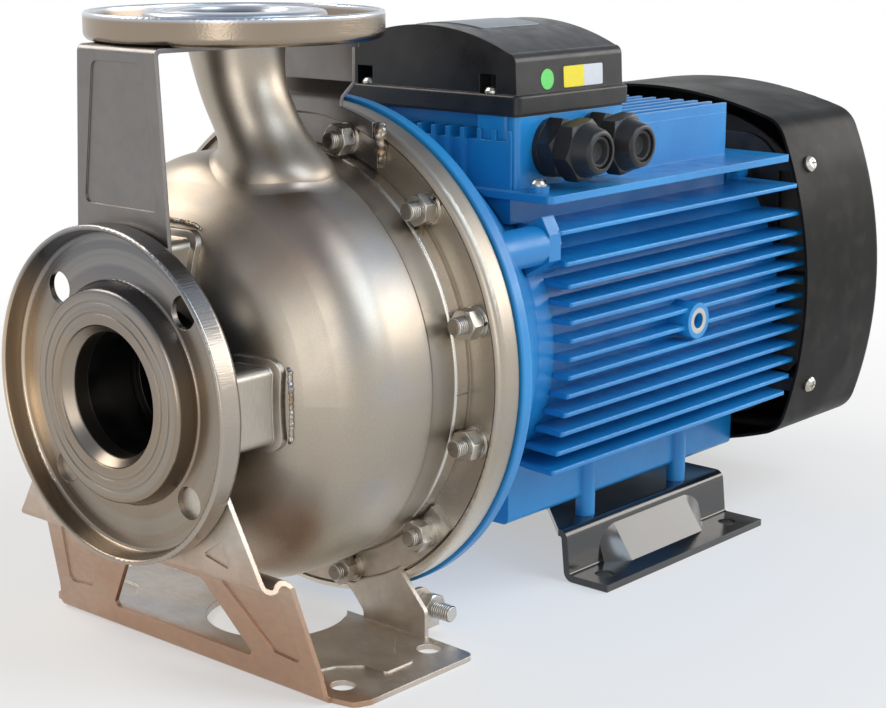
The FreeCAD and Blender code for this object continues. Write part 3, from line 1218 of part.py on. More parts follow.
def motor_foot():
    path = [(MOTOR_FOOT_HALF, MOTOR_FOOT_SHEET), (MOTOR_FOOT_WEB_X, MOTOR_FOOT_SHEET, 2.0),
            (MOTOR_FOOT_WEB_TOP_X, MOTOR_FOOT_TOP_Z, 6.0), (-MOTOR_FOOT_WEB_TOP_X, MOTOR_FOOT_TOP_Z, 6.0),
            (-MOTOR_FOOT_WEB_X, MOTOR_FOOT_SHEET, 2.0), (-MOTOR_FOOT_HALF, MOTOR_FOOT_SHEET)]
    sheet = prism_y(sheet_outline(path, MOTOR_FOOT_SHEET), MOTOR_FOOT_FRONT_Y, MOTOR_FOOT_BACK_Y)
    inner = MOTOR_FOOT_WEB_TOP_X - MOTOR_FOOT_SHEET - 1
    mouth = prism_z([(-inner, MOTOR_FOOT_FRONT_Y - 1), (inner, MOTOR_FOOT_FRONT_Y - 1),
                     (inner - 46, MOTOR_FOOT_FRONT_Y + 44, 30.0), (46 - inner, MOTOR_FOOT_FRONT_Y + 44, 30.0)],
                    MOTOR_FOOT_SHEET + 1, MOTOR_FOOT_TOP_Z + 1)
    body = sheet.cut(mouth)
    ramp = [(MOTOR_FOOT_WEB_TOP_X - 3, MOTOR_FOOT_TOP_Z - 1), (MOTOR_FOOT_WEB_X + MOTOR_FOOT_PRESS, MOTOR_FOOT_SHEET),
            (MOTOR_FOOT_WEB_X - 3, MOTOR_FOOT_SHEET)]
    y0, y1 = MOTOR_FOOT_PRESS_Y
    outer = loft_y(ramp, [(y0 - 16, 0.05), (y0, 1.0), (y1, 1.0), (y1 + 16, 0.05)])
    hollow = prism_y([(x - MOTOR_FOOT_SHEET * 1.3, z - 1.0) for x, z in ramp], y0, y1)
    body = fuse([body] + both_sides(outer))
    for part in both_sides(hollow):
        body = body.cut(part)
    for sign in (1, -1):
        for y in MOTOR_FOOT_HOLE_Y:
            body = body.cut(rod_z(MOTOR_FOOT_HOLE_R, -1, MOTOR_FOOT_SHEET + 1, sign * MOTOR_FOOT_HOLE_X, y))
        for y in POST_Y:
            body = body.cut(rod_z(FOOT_SCREW_R + 0.4, 0, MOTOR_FOOT_TOP_Z + 1, sign * POST_X, y))
    return body


def loft_y(section, stations):
    """A ramp whose foot reaches out by a share of its full width at each station along Y."""
    wires = []
    top, toe, heel = section
    for y, share in stations:
        moved = (heel[0] + (toe[0] - heel[0]) * max(share, 0.35), toe[1])
        corners = [Vector(top[0], y, top[1]), Vector(moved[0], y, moved[1]), Vector(heel[0], y, heel[1])]
        wires.append(Part.Wire(Part.makePolygon(corners + corners[:1])))
    return Part.makeLoft(wires, True, True)


def motor_foot_screws():
    screws = []
    under = MOTOR_FOOT_TOP_Z - MOTOR_FOOT_SHEET
    for x in (-POST_X, POST_X):
        for y in POST_Y:
            screws.append(laid(hex_screw(FOOT_SCREW_R, MOTOR_FOOT_SHEET + 18, 10.0, 4.5), x, y, under,
                               Vector(0, 0, -1)))
    return screws


# Rear end shield, fan and cover


def shield_screw_places():
    return [on_shaft_circle(SHIELD_SCREW_CIRCLE_R, degrees) for degrees in (45, 135, 225, 315)]


def cover_side_x(z):
    """Half width of the fan cover's outside at a height."""
    return COVER_HALF_X - COVER_SIDE_ARC_R + math.sqrt(COVER_SIDE_ARC_R ** 2 - (z - COVER_SIDE_Z) ** 2)


def cover_screw_line(z, sign):
    """Where a cover screw's head meets the cover, and the way it points out."""
    x = cover_side_x(z)
    outward = Vector(x - COVER_HALF_X + COVER_SIDE_ARC_R, 0, z - COVER_SIDE_Z).normalize()
    return Vector(sign * x, COVER_SCREW_Y, z), Vector(sign * outward.x, 0, outward.z)


def cover_screw_holes(radius):
    holes = []
    for z in COVER_SCREW_Z:
        for sign in (1, -1):
            start, outward = cover_screw_line(z, sign)
            holes.append(rod(radius, start + outward * 2, outward * -1, 30))
    return fuse(holes)


def rear_end_shield():
    y0 = FRAME_BACK_Y
    y1 = y0 + SHIELD_THICK
    spigot = y0 - FRAME_SPIGOT
    bearing_end = REAR_BEARING_Y + REAR_BEARING_WIDTH
    hub_end = bearing_end + 4
    hub_r = REAR_BEARING_OUTER_R + 9
    disc = turned([(REAR_BEARING_OUTER_R, REAR_BEARING_Y), (hub_r, REAR_BEARING_Y), (hub_r, spigot, 4.0),
                   (FRAME_BORE_R, spigot), (FRAME_BORE_R, y0), (FRAME_BORE_R + FRAME_WALL, y0),
                   (FRAME_BORE_R + FRAME_WALL, y1), (hub_r + 3, y1, 3.0), (hub_r, hub_end, 1.5),
                   (REAR_BEARING_R + 3, hub_end), (REAR_BEARING_R + 3, bearing_end),
                   (REAR_BEARING_OUTER_R, bearing_end)])
    half = SHIELD_HALF_X
    z0, z1 = SHIELD_Z
    corner = SHIELD_CORNER_R
    plate = prism_y([(-half, z0, corner), (half, z0, corner), (half, z1, corner), (-half, z1, corner)],
                    y1, y1 + SHIELD_PLATE).cut(rod_y(hub_r, y1, y1 + SHIELD_PLATE))
    pieces = [disc, plate]
    for x, z in shield_screw_places():
        pieces.append(rod_y(SHIELD_BOSS_R, y0, y1, x, z))
    for z in COVER_SCREW_Z:
        reach = min(cover_side_x(z + SHIELD_ARM_HALF), cover_side_x(z - SHIELD_ARM_HALF)) - COVER_WALL - 0.5
        pieces += both_sides(box(SHIELD_HALF_X - 12, reach, y1, COVER_SCREW_Y + SHIELD_ARM_HALF,
                                 z - SHIELD_ARM_HALF, z + SHIELD_ARM_HALF))
    body = fuse(pieces)
    for x, z in shield_screw_places():
        body = body.cut(rod_y(SHIELD_SCREW_R + 0.3, y0 - 1, COVER_SCREW_Y + SHIELD_ARM_HALF + 1, x, z))
    body = body.cut(cover_screw_holes(COVER_SCREW_R))
    return body.removeSplitter()


def shield_screws():
    screws = []
    for x, z in shield_screw_places():
        screw = hex_screw(SHIELD_SCREW_R, SHIELD_THICK + SHIELD_PLATE + 14, 10.0, 4.0)
        screws.append(laid(screw, x, FRAME_BACK_Y + SHIELD_THICK + SHIELD_PLATE, z, Vector(0, 1, 0)))
    return screws


def cover_corner(crown_z, inset):
    """The rounded corner between the cover's side and its crown or belly: start, middle and end."""
    side = Vector(COVER_HALF_X - COVER_SIDE_ARC_R, COVER_SIDE_Z, 0)
    crown = Vector(0, crown_z, 0)
    side_reach = COVER_SIDE_ARC_R - COVER_CORNER_R
    crown_reach = COVER_CROWN_ARC_R - COVER_CORNER_R
    between = crown - side
    along = (side_reach ** 2 - crown_reach ** 2 + between.Length ** 2) / (2 * between.Length)
    across = math.sqrt(side_reach ** 2 - along ** 2)
    unit = Vector(between).normalize()
    normal = Vector(-unit.y, unit.x, 0)
    if normal.x < 0:
        normal = normal * -1
    centre = side + unit * along + normal * across
    from_side = (centre - side).normalize()
    from_crown = (centre - crown).normalize()
    radius = COVER_CORNER_R - inset
    middle = (from_side + from_crown).normalize()
    return centre + from_side * radius, centre + middle * radius, centre + from_crown * radius


def cover_block(inset, y0, y1):
    """A length of the cover's cross-section: four shallow arcs with rounded corners."""
    top = cover_corner(COVER_TOP_Z - COVER_CROWN_ARC_R, inset)
    low = cover_corner(COVER_LOW_Z + COVER_CROWN_ARC_R, inset)

    def at(point, sign=1):
        return Vector(sign * point.x, y0, point.y)

    edges = []
    for sign in (1, -1):
        edges.append(Part.Arc(at(low[0], sign), Vector(sign * (COVER_HALF_X - inset), y0, COVER_SIDE_Z),
                              at(top[0], sign)).toShape())
        edges += [Part.Arc(at(c[0], sign), at(c[1], sign), at(c[2], sign)).toShape() for c in (top, low)]
    edges.append(Part.Arc(at(top[2]), Vector(0, y0, COVER_TOP_Z - inset), at(top[2], -1)).toShape())
    edges.append(Part.Arc(at(low[2]), Vector(0, y0, COVER_LOW_Z + inset), at(low[2], -1)).toShape())
    wire = Part.Wire(Part.__sortEdges__(edges))
    return Part.Face(wire).extrude(Vector(0, y1 - y0, 0))


def rounded_back(block, radius):
    y1 = block.BoundBox.YMax
    rim = [e for e in block.Edges if abs(e.CenterOfMass.y - y1) < 0.01]
    return block.makeFillet(radius, rim)


def fan_cover():
    shell = rounded_back(cover_block(0.0, COVER_FRONT_Y, COVER_BACK_Y), COVER_EDGE_R)
    hollow = rounded_back(cover_block(COVER_WALL, COVER_FRONT_Y - 1, COVER_BACK_Y - COVER_WALL),
                          COVER_EDGE_R - COVER_WALL)
    shell = shell.cut(hollow)
    slots = []
    for k in range(GRILLE_SLOTS):
        inner_r = GRILLE_FIRST_R + GRILLE_PITCH * k
        slots.append(ring_y(inner_r + GRILLE_SLOT, inner_r, COVER_BACK_Y - 6, COVER_BACK_Y + 1))
    cutter = fuse(slots)
    for k in range(GRILLE_SPOKES // 2):
        spoke = box(-COVER_HALF_X, COVER_HALF_X, COVER_BACK_Y - 8, COVER_BACK_Y + 2,
                    AXIS_HEIGHT - GRILLE_SPOKE_WIDTH / 2, AXIS_HEIGHT + GRILLE_SPOKE_WIDTH / 2)
        spoke.rotate(Vector(0, 0, AXIS_HEIGHT), Vector(0, 1, 0), 360.0 / GRILLE_SPOKES * (k + 0.5))
        cutter = cutter.cut(spoke)
    shell = shell.cut(cutter)
    return shell.cut(cover_screw_holes(COVER_SCREW_R + 0.2))


def cover_screws():
    screws = []
    for z in COVER_SCREW_Z:
        for sign in (1, -1):
            start, outward = cover_screw_line(z, sign)
            head_seat = start + outward * 0.1
            screws.append(laid(pan_screw(COVER_SCREW_R - 0.1, 12.0, 5.5, 3.8), head_seat.x, head_seat.y,
                               head_seat.z, outward))
    return screws


def cooling_fan():
    y0, y1 = FAN_Y
    hub = ring_y(FAN_HUB_R, FAN_SEAT_R, y0, y1 - 10)
    disc = turned([(FAN_SEAT_R, y1 - 14), (FAN_R * 0.55, y1 - 16), (FAN_R, y1 - 6), (FAN_R, y1 - 3),
                   (FAN_R * 0.55, y1 - 13), (FAN_SEAT_R, y1 - 10)])
    blades = []
    for k in range(FAN_BLADE_COUNT):
        blade = prism_x([(y0 + 6, AXIS_HEIGHT + FAN_HUB_R - 2), (y1 - 12, AXIS_HEIGHT + FAN_HUB_R - 2),
                         (y1 - 4, AXIS_HEIGHT + FAN_R), (y0, AXIS_HEIGHT + FAN_R, 6.0),
                         (y0, AXIS_HEIGHT + FAN_R * 0.5, 20.0)], -FAN_BLADE_THICK / 2, FAN_BLADE_THICK / 2)
        blade.rotate(Vector(0, 0, AXIS_HEIGHT), Vector(0, 1, 0), 360.0 / FAN_BLADE_COUNT * k)
        blades.append(blade)
    return fuse([hub, disc] + blades)


# Terminal box

BOX_MID_X = (BOX_X[0] + BOX_X[1]) / 2
LID_FOOT_Z = BOX_TOP_Z + GASKET_THICK


def lid_screw_places():
    return [(x, y) for x in (BOX_X[0] + LID_SCREW_INSET, BOX_X[1] - LID_SCREW_INSET)
            for y in (BOX_Y[0] + 6, BOX_Y[1] - 6)]


def box_well():
    """Room for the terminal box in the motor frame's deck, down to the shelf and the tube."""
    well = box(BOX_X[0] - 0.3, DECK_HALF + 1, BOX_Y[0] - 0.3, BOX_Y[1] + 0.3, SHELF_Z, DECK_Z + 30)
    well = well.cut(rod_y(FRAME_BORE_R + FRAME_WALL, BOX_Y[0] - 1, BOX_Y[1] + 1))
    low_front = BOX_Y[0] + 0.5
    front = box(BOX_X[0] + LID_SCREW_INSET + BOX_COLUMN_R + 1, BOX_X[1] - LID_SCREW_INSET - BOX_COLUMN_R - 1,
                low_front - 8, BOX_Y[0] + 8, SHELF_Z, DECK_Z + 30)
    return well.cut(front)


def terminal_box():
    x0, x1 = BOX_X
    y0, y1 = BOX_Y
    inset = BOX_COLUMN_R + 1
    left = x0 + LID_SCREW_INSET
    right = x1 - LID_SCREW_INSET
    outside = prism_z([(x0, y0, 3.0), (left + inset, y0, 3.0), (left + inset, y0 + 8.3),
                       (right - inset, y0 + 8.3), (right - inset, y0, 3.0), (x1, y0, 4.0),
                       (x1, y1, 4.0), (x0, y1, 4.0)], SHELF_Z, BOX_TOP_Z)
    cavity = box(x0 + BOX_WALL, x1 - BOX_WALL, y0 + 8.3 + BOX_WALL, y1 - BOX_WALL, BOX_FLOOR_Z, BOX_TOP_Z + 1)
    side = box(right + BOX_COLUMN_R - 3, x1 - BOX_WALL, GLAND_Y[0] - LOCKNUT_ROOM, GLAND_Y[1] + LOCKNUT_ROOM,
               GLAND_Z - LOCKNUT_ROOM, BOX_TOP_Z + 1)
    body = outside.cut(cavity).cut(side)
    for x, y in lid_screw_places():
        column = rod_z(BOX_COLUMN_R, BOX_FLOOR_Z - 8, BOX_TOP_Z, x, y + (2 if y < BOX_MID_Y else -2))
        body = body.fuse(column)
    body = body.cut(rod_y(FRAME_BORE_R + FRAME_WALL + BOX_SADDLE_GAP, y0 - 1, y1 + 1))
    body = body.cut(adapter_outside(BOX_SADDLE_GAP))
    groove_x = (right + x1) / 2 + 3.5
    body = body.cut(rod_z(1.8, SHELF_Z, BOX_TOP_Z + 1, groove_x, y0 - 0.6))
    for x, y in lid_screw_places():
        body = body.cut(rod_z(LID_SCREW_R - 0.4, BOX_TOP_Z - 14, BOX_TOP_Z + 1, x, y))
    for y in GLAND_Y:
        body = body.cut(rod_x(GLAND_THREAD_R, x1 - 20, x1 + 1, y, GLAND_Z))
    body = body.cut(rod_z(10.0, SHELF_Z, BOX_TOP_Z, BOX_MID_X, BOX_MID_Y + 30))
    return body.removeSplitter()


BOX_MID_Y = (BOX_Y[0] + BOX_Y[1]) / 2


def lid_rectangle(grow):
    x0, x1 = BOX_X[0] - grow, BOX_X[1] + grow
    y0, y1 = BOX_Y[0] - grow, BOX_Y[1] + grow
    return [(x0, y0, LID_EDGE_R), (x1, y0, LID_EDGE_R), (x1, y1, LID_EDGE_R), (x0, y1, LID_EDGE_R)]


def lid_gasket():
    ring = prism_z(lid_rectangle(0.0), BOX_TOP_Z, LID_FOOT_Z)
    hole = box(BOX_X[0] + BOX_WALL, BOX_X[1] - BOX_WALL, BOX_Y[0] + 8.3 + BOX_WALL, BOX_Y[1] - BOX_WALL,
               BOX_TOP_Z, LID_FOOT_Z)
    ring = ring.cut(hole)
    for x, y in lid_screw_places():
        ring = ring.cut(rod_z(LID_SCREW_R, BOX_TOP_Z - 1, LID_FOOT_Z + 1, x, y))
    return ring


def lid_arch(inset, drop):
    """The lid's arched cross-section, extruded along Y."""
    x0 = BOX_X[0] - LID_OVERHANG + LID_STEP + inset
    x1 = BOX_X[1] + LID_OVERHANG - LID_STEP - inset
    y0 = BOX_Y[0] - LID_OVERHANG + LID_STEP + inset
    y1 = BOX_Y[1] + LID_OVERHANG - LID_STEP - inset
    side = LID_SIDE_Z - drop
    crown = LID_CROWN_Z - drop

    def at(x, z):
        return Vector(x, y0, z)

    corner = LID_EDGE_R + 1.0
    edges = [Part.makeLine(at(x0, LID_FOOT_Z), at(x1, LID_FOOT_Z)),
             Part.makeLine(at(x1, LID_FOOT_Z), at(x1 - 1.5, side - corner)),
             Part.Arc(at(x1 - 1.5, side - corner), at(x1 - 1.5 - corner * 0.36, side - corner * 0.26),
                      at(x1 - 1.5 - corner, side)).toShape(),
             Part.Arc(at(x1 - 1.5 - corner, side), at(BOX_MID_X, crown), at(x0 + 1.5 + corner, side)).toShape(),
             Part.Arc(at(x0 + 1.5 + corner, side), at(x0 + 1.5 + corner * 0.36, side - corner * 0.26),
                      at(x0 + 1.5, side - corner)).toShape(),
             Part.makeLine(at(x0 + 1.5, side - corner), at(x0, LID_FOOT_Z))]
    return Part.Face(Part.Wire(edges)).extrude(Vector(0, y1 - y0, 0))


def terminal_lid():
    flange = prism_z(lid_rectangle(LID_OVERHANG), LID_FOOT_Z, LID_FOOT_Z + LID_FLANGE)
    rims = [e for e in flange.Edges if abs(e.BoundBox.ZMin - LID_FOOT_Z - LID_FLANGE) < 0.01
            and abs(e.BoundBox.ZMax - LID_FOOT_Z - LID_FLANGE) < 0.01]
    flange = flange.makeFillet(1.8, rims)
    dome = lid_arch(0.0, 0.0)
    pockets = []
    for x, y in lid_screw_places():
        outward = -1 if y < BOX_MID_Y else 1
        y_in = y - outward * (LID_POCKET_DEPTH - 6)
        y_out = y + outward * 20
        pockets.append(box(x - LID_POCKET / 2, x + LID_POCKET / 2, min(y_in, y_out), max(y_in, y_out),
                           LID_FOOT_Z + LID_FLANGE, LID_FOOT_Z + LID_FLANGE + LID_POCKET_HEIGHT))
    dome = dome.cut(fuse(pockets))
    body = fuse([flange, dome])
    hollow = lid_arch(LID_WALL, LID_WALL)
    walls = []
    for x, y in lid_screw_places():
        outward = -1 if y < BOX_MID_Y else 1
        y_in = y - outward * (LID_POCKET_DEPTH - 6 + LID_WALL)
        y_out = y + outward * 20
        walls.append(box(x - LID_POCKET / 2 - LID_WALL, x + LID_POCKET / 2 + LID_WALL, min(y_in, y_out),
                         max(y_in, y_out), LID_FOOT_Z - 1, LID_FOOT_Z + LID_FLANGE + LID_POCKET_HEIGHT + LID_WALL))
    body = body.cut(hollow.cut(fuse(walls)))
    for x, y in lid_screw_places():
        body = body.cut(rod_z(LID_SCREW_R + 0.3, LID_FOOT_Z - 1, LID_FOOT_Z + LID_FLANGE + 1, x, y))
    return body


def lid_screws():
    return [laid(pan_screw(LID_SCREW_R - 0.4, LID_FLANGE + GASKET_THICK + 9, 5.2, 3.6), x, y,
                 LID_FOOT_Z + LID_FLANGE, Vector(0, 0, 1)) for x, y in lid_screw_places()]


def lid_plate():
    """A blank plate that follows the lid's crown."""
    cap = lid_arch(0.0, -PLATE_THICK)
    window = prism_z([(PLATE_X[0], PLATE_Y[0], 2.5), (PLATE_X[1], PLATE_Y[0], 2.5),
                      (PLATE_X[1], PLATE_Y[1], 2.5), (PLATE_X[0], PLATE_Y[1], 2.5)],
                     LID_SIDE_Z, LID_CROWN_Z + 5)
    return cap.common(window).cut(lid_arch(0.0, 0.0))


def lid_stickers():
    """Two blank stickers on the lid's gland side, a round one and a square one."""
    x0 = BOX_X[1] + LID_OVERHANG - LID_STEP
    drop = (LID_SIDE_Z - LID_EDGE_R - 1.0) - LID_FOOT_Z
    lean = math.degrees(math.atan2(1.5, drop))
    dot = rod_x(DOT_R, x0, x0 + STICKER_THICK, DOT_Y, DOT_Z)
    y0, y1 = PATCH_Y
    z0, z1 = PATCH_Z
    patch = prism_x([(y0, z0, 1.2), (y1, z0, 1.2), (y1, z1, 1.2), (y0, z1, 1.2)], x0, x0 + STICKER_THICK)
    for shape in (dot, patch):
        shape.rotate(Vector(x0, 0, LID_FOOT_Z), Vector(0, 1, 0), -lean)
    return [dot, patch]


def terminal_block():
    x0, y0 = BOX_MID_X, BOX_MID_Y - 4
    block = box(x0 - 30, x0 + 24, y0 - 20, y0 + 20, BOX_FLOOR_Z, BOX_FLOOR_Z + 11)
    for x in (-12, 6):
        block = block.fuse(box(x0 + x - 1, x0 + x + 1, y0 - 20, y0 + 20, BOX_FLOOR_Z + 10, BOX_FLOOR_Z + 17))
    for x, y in terminal_places():
        block = block.cut(rod_z(2.5, BOX_FLOOR_Z + 4, BOX_FLOOR_Z + 20, x, y))
    return block.removeSplitter()


def terminal_places():
    return [(BOX_MID_X - 21 + 18 * k, BOX_MID_Y - 4 + 11 * side) for k in range(3) for side in (-1, 1)]


def terminal_studs():
    pins = []
    for x, y in terminal_places():
        pin = laid(threaded_rod(2.5, 18.0, 0.5), x, y, BOX_FLOOR_Z + 4, Vector(0, 0, 1))
        nut_body = laid(hexagon(8.0, 4.0), x, y, BOX_FLOOR_Z + 11, Vector(0, 0, 1))
        pins.append(fuse([pin, nut_body]))
    return pins


# Cable glands


def gland_bodies():
    bodies = []
    for y in GLAND_Y:
        flange = rod_x(GLAND_CAP_R + 0.5, BOX_X[1], BOX_X[1] + 3.5, y, GLAND_Z)
        grip = laid(hexagon(GLAND_FLATS, GLAND_BODY - 3.5), BOX_X[1] + 3.5, y, GLAND_Z, Vector(1, 0, 0), 18.0)
        tail = rod_x(GLAND_THREAD_R, BOX_X[1] - BOX_WALL - 3, BOX_X[1], y, GLAND_Z)
        neck = rod_x(GLAND_THREAD_R, BOX_X[1] + GLAND_BODY, BOX_X[1] + GLAND_BODY + 9, y, GLAND_Z)
        body = fuse([flange, grip, tail, neck])
        bodies.append(body.cut(rod_x(GLAND_HOLE_R, BOX_X[1] - 20, BOX_X[1] + 60, y, GLAND_Z)))
    return bodies


def gland_caps():
    caps = []
    length = GLAND_LENGTH - GLAND_BODY
    for y in GLAND_Y:
        grip = hexagon(GLAND_FLATS, 12.0, True, True)
        dome = turned_about_z([(0, 0), (GLAND_CAP_R - 0.8, 0.5, 1.0), (GLAND_CAP_R - 0.8, 11.0, 4.0),
                               (GLAND_MOUTH_R, length, 2.5), (0, length)])
        cap = fuse([grip, dome]).cut(rod_z(GLAND_THREAD_R, -1, 9.0))
        cap = cap.cut(rod_z(GLAND_HOLE_R + 1.2, 8.0, length + 1))
        caps.append(laid(cap, BOX_X[1] + GLAND_BODY, y, GLAND_Z, Vector(1, 0, 0), 41.0))
    return caps


def gland_inserts():
    inserts = []
    length = GLAND_LENGTH - GLAND_BODY
    for y in GLAND_Y:
        plug = turned_about_z([(0, 9.0), (GLAND_HOLE_R + 1.2, 9.0), (GLAND_HOLE_R + 1.2, length - 2, 1.0),
                               (GLAND_HOLE_R - 1.0, length - 1, 1.0), (GLAND_HOLE_R - 2.2, length - 6, 1.5),
                               (0, length - 7)])
        inserts.append(laid(plug, BOX_X[1] + GLAND_BODY, y, GLAND_Z, Vector(1, 0, 0)))
    return inserts


def gland_locknuts():
    x0 = BOX_X[1] - BOX_WALL
    return [laid(nut(GLAND_THREAD_R, LOCKNUT_FLATS, 3.0), x0, y, GLAND_Z, Vector(-1, 0, 0)) for y in GLAND_Y]


def earth_screw():
    return laid(pan_screw(2.0, 6.5, 4.6, 3.6), EARTH_X, EARTH_Y, SHELF_Z + 4, Vector(0, 0, 1))


NODES = {
    "pump_casing": pump_casing,
    "casing_flange": casing_flange,
    "suction_flange": suction_flange,
    "suction_pipe": suction_pipe,
    "discharge_flange": discharge_flange,
    "discharge_neck": discharge_neck,
    "flange_bracket": flange_bracket,
    "brace_top": lambda: turned_brace(0.0),
    "brace_right": lambda: turned_brace(90.0),
    "brace_left": lambda: turned_brace(-90.0),
    "pump_foot": lambda: fuse([pump_foot(), jack_lug()]),
    "jack_bolt": jack_bolt,
    "jack_nut": jack_nut,
    "casing_studs": casing_studs,
    "casing_nuts": casing_nuts,
    "lock_washers": lock_washers,
    "flat_washers": flat_washers,
    "casing_oring": casing_oring,
    "back_cover": back_cover,
    "seal_seat": seal_seat,
    "seal_ring": seal_ring,
    "seal_bellows": seal_bellows,
    "impeller": impeller,
    "impeller_washer": impeller_washer,
    "impeller_nut": impeller_nut,
    "wear_ring": wear_ring,
    "shaft_key": shaft_key,
    "motor_shaft": motor_shaft,
    "front_bearing": front_bearing,
    "rear_bearing": rear_bearing,
    "rotor_core": rotor_core,
    "stator_core": stator_core,
    "stator_windings": stator_windings,
    "motor_adapter": motor_adapter,
    "adapter_bolts": adapter_bolts,
    "motor_frame": motor_frame,
    "motor_foot": motor_foot,
    "motor_foot_screws": motor_foot_screws,
    "rear_end_shield": rear_end_shield,
    "shield_screws": shield_screws,
    "cooling_fan": cooling_fan,
    "fan_cover": fan_cover,
    "cover_screws": cover_screws,
    "terminal_box": terminal_box,
    "lid_gasket": lid_gasket,
    "terminal_lid": terminal_lid,
    "lid_screws": lid_screws,
    "lid_plate": lid_plate,
    "lid_stickers": lid_stickers,
    "terminal_block": terminal_block,
    "terminal_studs": terminal_studs,
    "gland_bodies": gland_bodies,
    "gland_caps": gland_caps,
    "gland_inserts": gland_inserts,
    "gland_locknuts": gland_locknuts,
    "earth_screw": earth_screw,
}


def write_nodes():
    os.makedirs("parts", exist_ok=True)
    for name, make in NODES.items():
        made = make()
        shape = Part.makeCompound(made) if isinstance(made, list) else made
        shape.translate(Vector(0, -FOOT_HOLES_BEHIND_DISCHARGE, 0))
        shape.exportStep(f"parts/{name}.step")


write_nodes()
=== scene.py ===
import math

import bpy
from mathutils import Euler, Matrix, Vector


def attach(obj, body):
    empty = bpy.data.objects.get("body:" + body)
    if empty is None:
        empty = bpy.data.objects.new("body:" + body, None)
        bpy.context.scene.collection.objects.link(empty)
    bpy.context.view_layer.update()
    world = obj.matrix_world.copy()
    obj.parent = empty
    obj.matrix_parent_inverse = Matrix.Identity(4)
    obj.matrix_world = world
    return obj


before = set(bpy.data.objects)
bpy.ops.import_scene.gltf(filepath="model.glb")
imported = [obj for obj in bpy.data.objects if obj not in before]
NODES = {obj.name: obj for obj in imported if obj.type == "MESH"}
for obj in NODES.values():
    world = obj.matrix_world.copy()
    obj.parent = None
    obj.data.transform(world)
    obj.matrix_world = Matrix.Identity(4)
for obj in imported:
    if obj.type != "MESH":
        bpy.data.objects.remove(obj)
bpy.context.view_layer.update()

# Places in the pump's own frame, in metres
SHAFT_Z = 0.160
DISCHARGE_Y = -0.005
SUCTION_RIM_R = 0.0925
DISCHARGE_RIM_R = 0.0825
DISCHARGE_TOP = (0.3565, 0.3598)
SUCTION_UPPER = (0.18, 0.235)
BOWL_SEAM_Y = 0.0205
# Centre of a painted dark brown reflection spot on the bowl
BRONZED_SPOT = (0.074, -0.033, 0.246)
COLLAR_Y = 0.0437
COLLAR_R = 0.1229
EYE_BOSS_X = 0.1274
EYE_BOSS_Y = 0.266
EYE_BOSS_R = 0.0078
GREEN_DOT_END_Y = 0.1625
YELLOW_END_Y = 0.1885
THREAD_PITCH = 0.0015
CORE_SHEET = 0.0010

# Camera and light
CAMERA_AZIMUTH = math.radians(41.4)
CAMERA_RISE = math.radians(13.19)
CAMERA_PLACE = (0.7867, -0.7249, 0.4146)
CAMERA_LENS = 77.5


def photo_camera():
    """The camera stands ahead of the suction flange, to its right and above it."""
    azimuth = CAMERA_AZIMUTH
    rise = CAMERA_RISE
    level = math.cos(rise)
    back = Vector((math.sin(azimuth) * level, -math.cos(azimuth) * level, math.sin(rise)))
    right = Vector((math.cos(azimuth), math.sin(azimuth), 0.0))
    turn = Matrix((right, back.cross(right), back)).transposed()
    lens = bpy.data.cameras.new("photo_camera")
    lens.sensor_width = 36.0
    lens.lens = CAMERA_LENS
    camera = bpy.data.objects.new("photo_camera", lens)
    camera.matrix_world = Matrix.Translation(CAMERA_PLACE) @ turn.to_4x4()
    bpy.context.scene.collection.objects.link(camera)
    bpy.context.scene.camera = camera


def soft_lamp(name, place, aim, power, width, height, colour):
    """A flat lamp of so many watts that faces its aim."""
    lamp = bpy.data.lights.new(name, "AREA")
    lamp.color = colour
    lamp.shape = "RECTANGLE"
    lamp.size = width
    lamp.size_y = height
    lamp.energy = power
    holder = bpy.data.objects.new(name, lamp)
    holder.location = place
    holder.rotation_euler = (Vector(aim) - Vector(place)).to_track_quat("-Z", "Y").to_euler()
    bpy.context.scene.collection.objects.link(holder)


# Name, place, aim, watts, width, height, colour
LAMPS = (
    ("lamp_over_shoulder", (1.28, 0.38, 1.22), (0.0, 0.05, 0.2), 13.5, 0.7, 1.3, (0.74, 0.87, 1.0)),
    ("lamp_beside_motor", (1.05, 1.75, 0.85), (0.0, 0.2, 0.12), 15.0, 1.5, 0.8, (1.0, 0.96, 0.9)),
    ("lamp_left_of_suction", (-1.15, -0.35, 1.35), (0.0, 0.0, 0.2), 13.0, 0.9, 0.9, (1.0, 0.93, 0.84)),
    ("lamp_near_camera", (1.15, -1.6, 0.75), (0.0, 0.1, 0.16), 8.0, 0.6, 1.5, (1.0, 0.98, 0.95)),
)


def studio_lamps():
    for lamp in LAMPS:
        soft_lamp(*lamp)


# Shader maths


class Wire:
    """A socket that adds its own Math node when it is used in an expression."""

    def __init__(self, paint, socket):
        self.paint = paint
        self.socket = socket

    def math(self, operation, *others):
        return self.paint.node("ShaderNodeMath", {"operation": operation}, [self, *others])

    def __add__(self, other):
        return self.math("ADD", other)

    def __radd__(self, other):
        return self.math("ADD", other)

    def __sub__(self, other):
        return self.math("SUBTRACT", other)

    def __rsub__(self, other):
        return self.paint.node("ShaderNodeMath", {"operation": "SUBTRACT"}, [other, self])

    def __mul__(self, other):
        return self.math("MULTIPLY", other)

    def __rmul__(self, other):
        return self.math("MULTIPLY", other)

    def __gt__(self, other):
        return self.math("GREATER_THAN", other)

    def sine(self):
        return self.math("SINE")

    def root(self):
        return self.math("SQRT")

    def away_from(self, other):
        """How far the value is from another one, either way."""
        return self.math("SUBTRACT", other).math("ABSOLUTE")

    def ramp(self, low, high, start=0.0, end=1.0):
        """Maps low..high to start..end with a smooth step."""
        limits = {"Value": self, "From Min": low, "From Max": high, "To Min": start, "To Max": end}
        return self.paint.node("ShaderNodeMapRange", {"interpolation_type": "SMOOTHSTEP"}, limits)


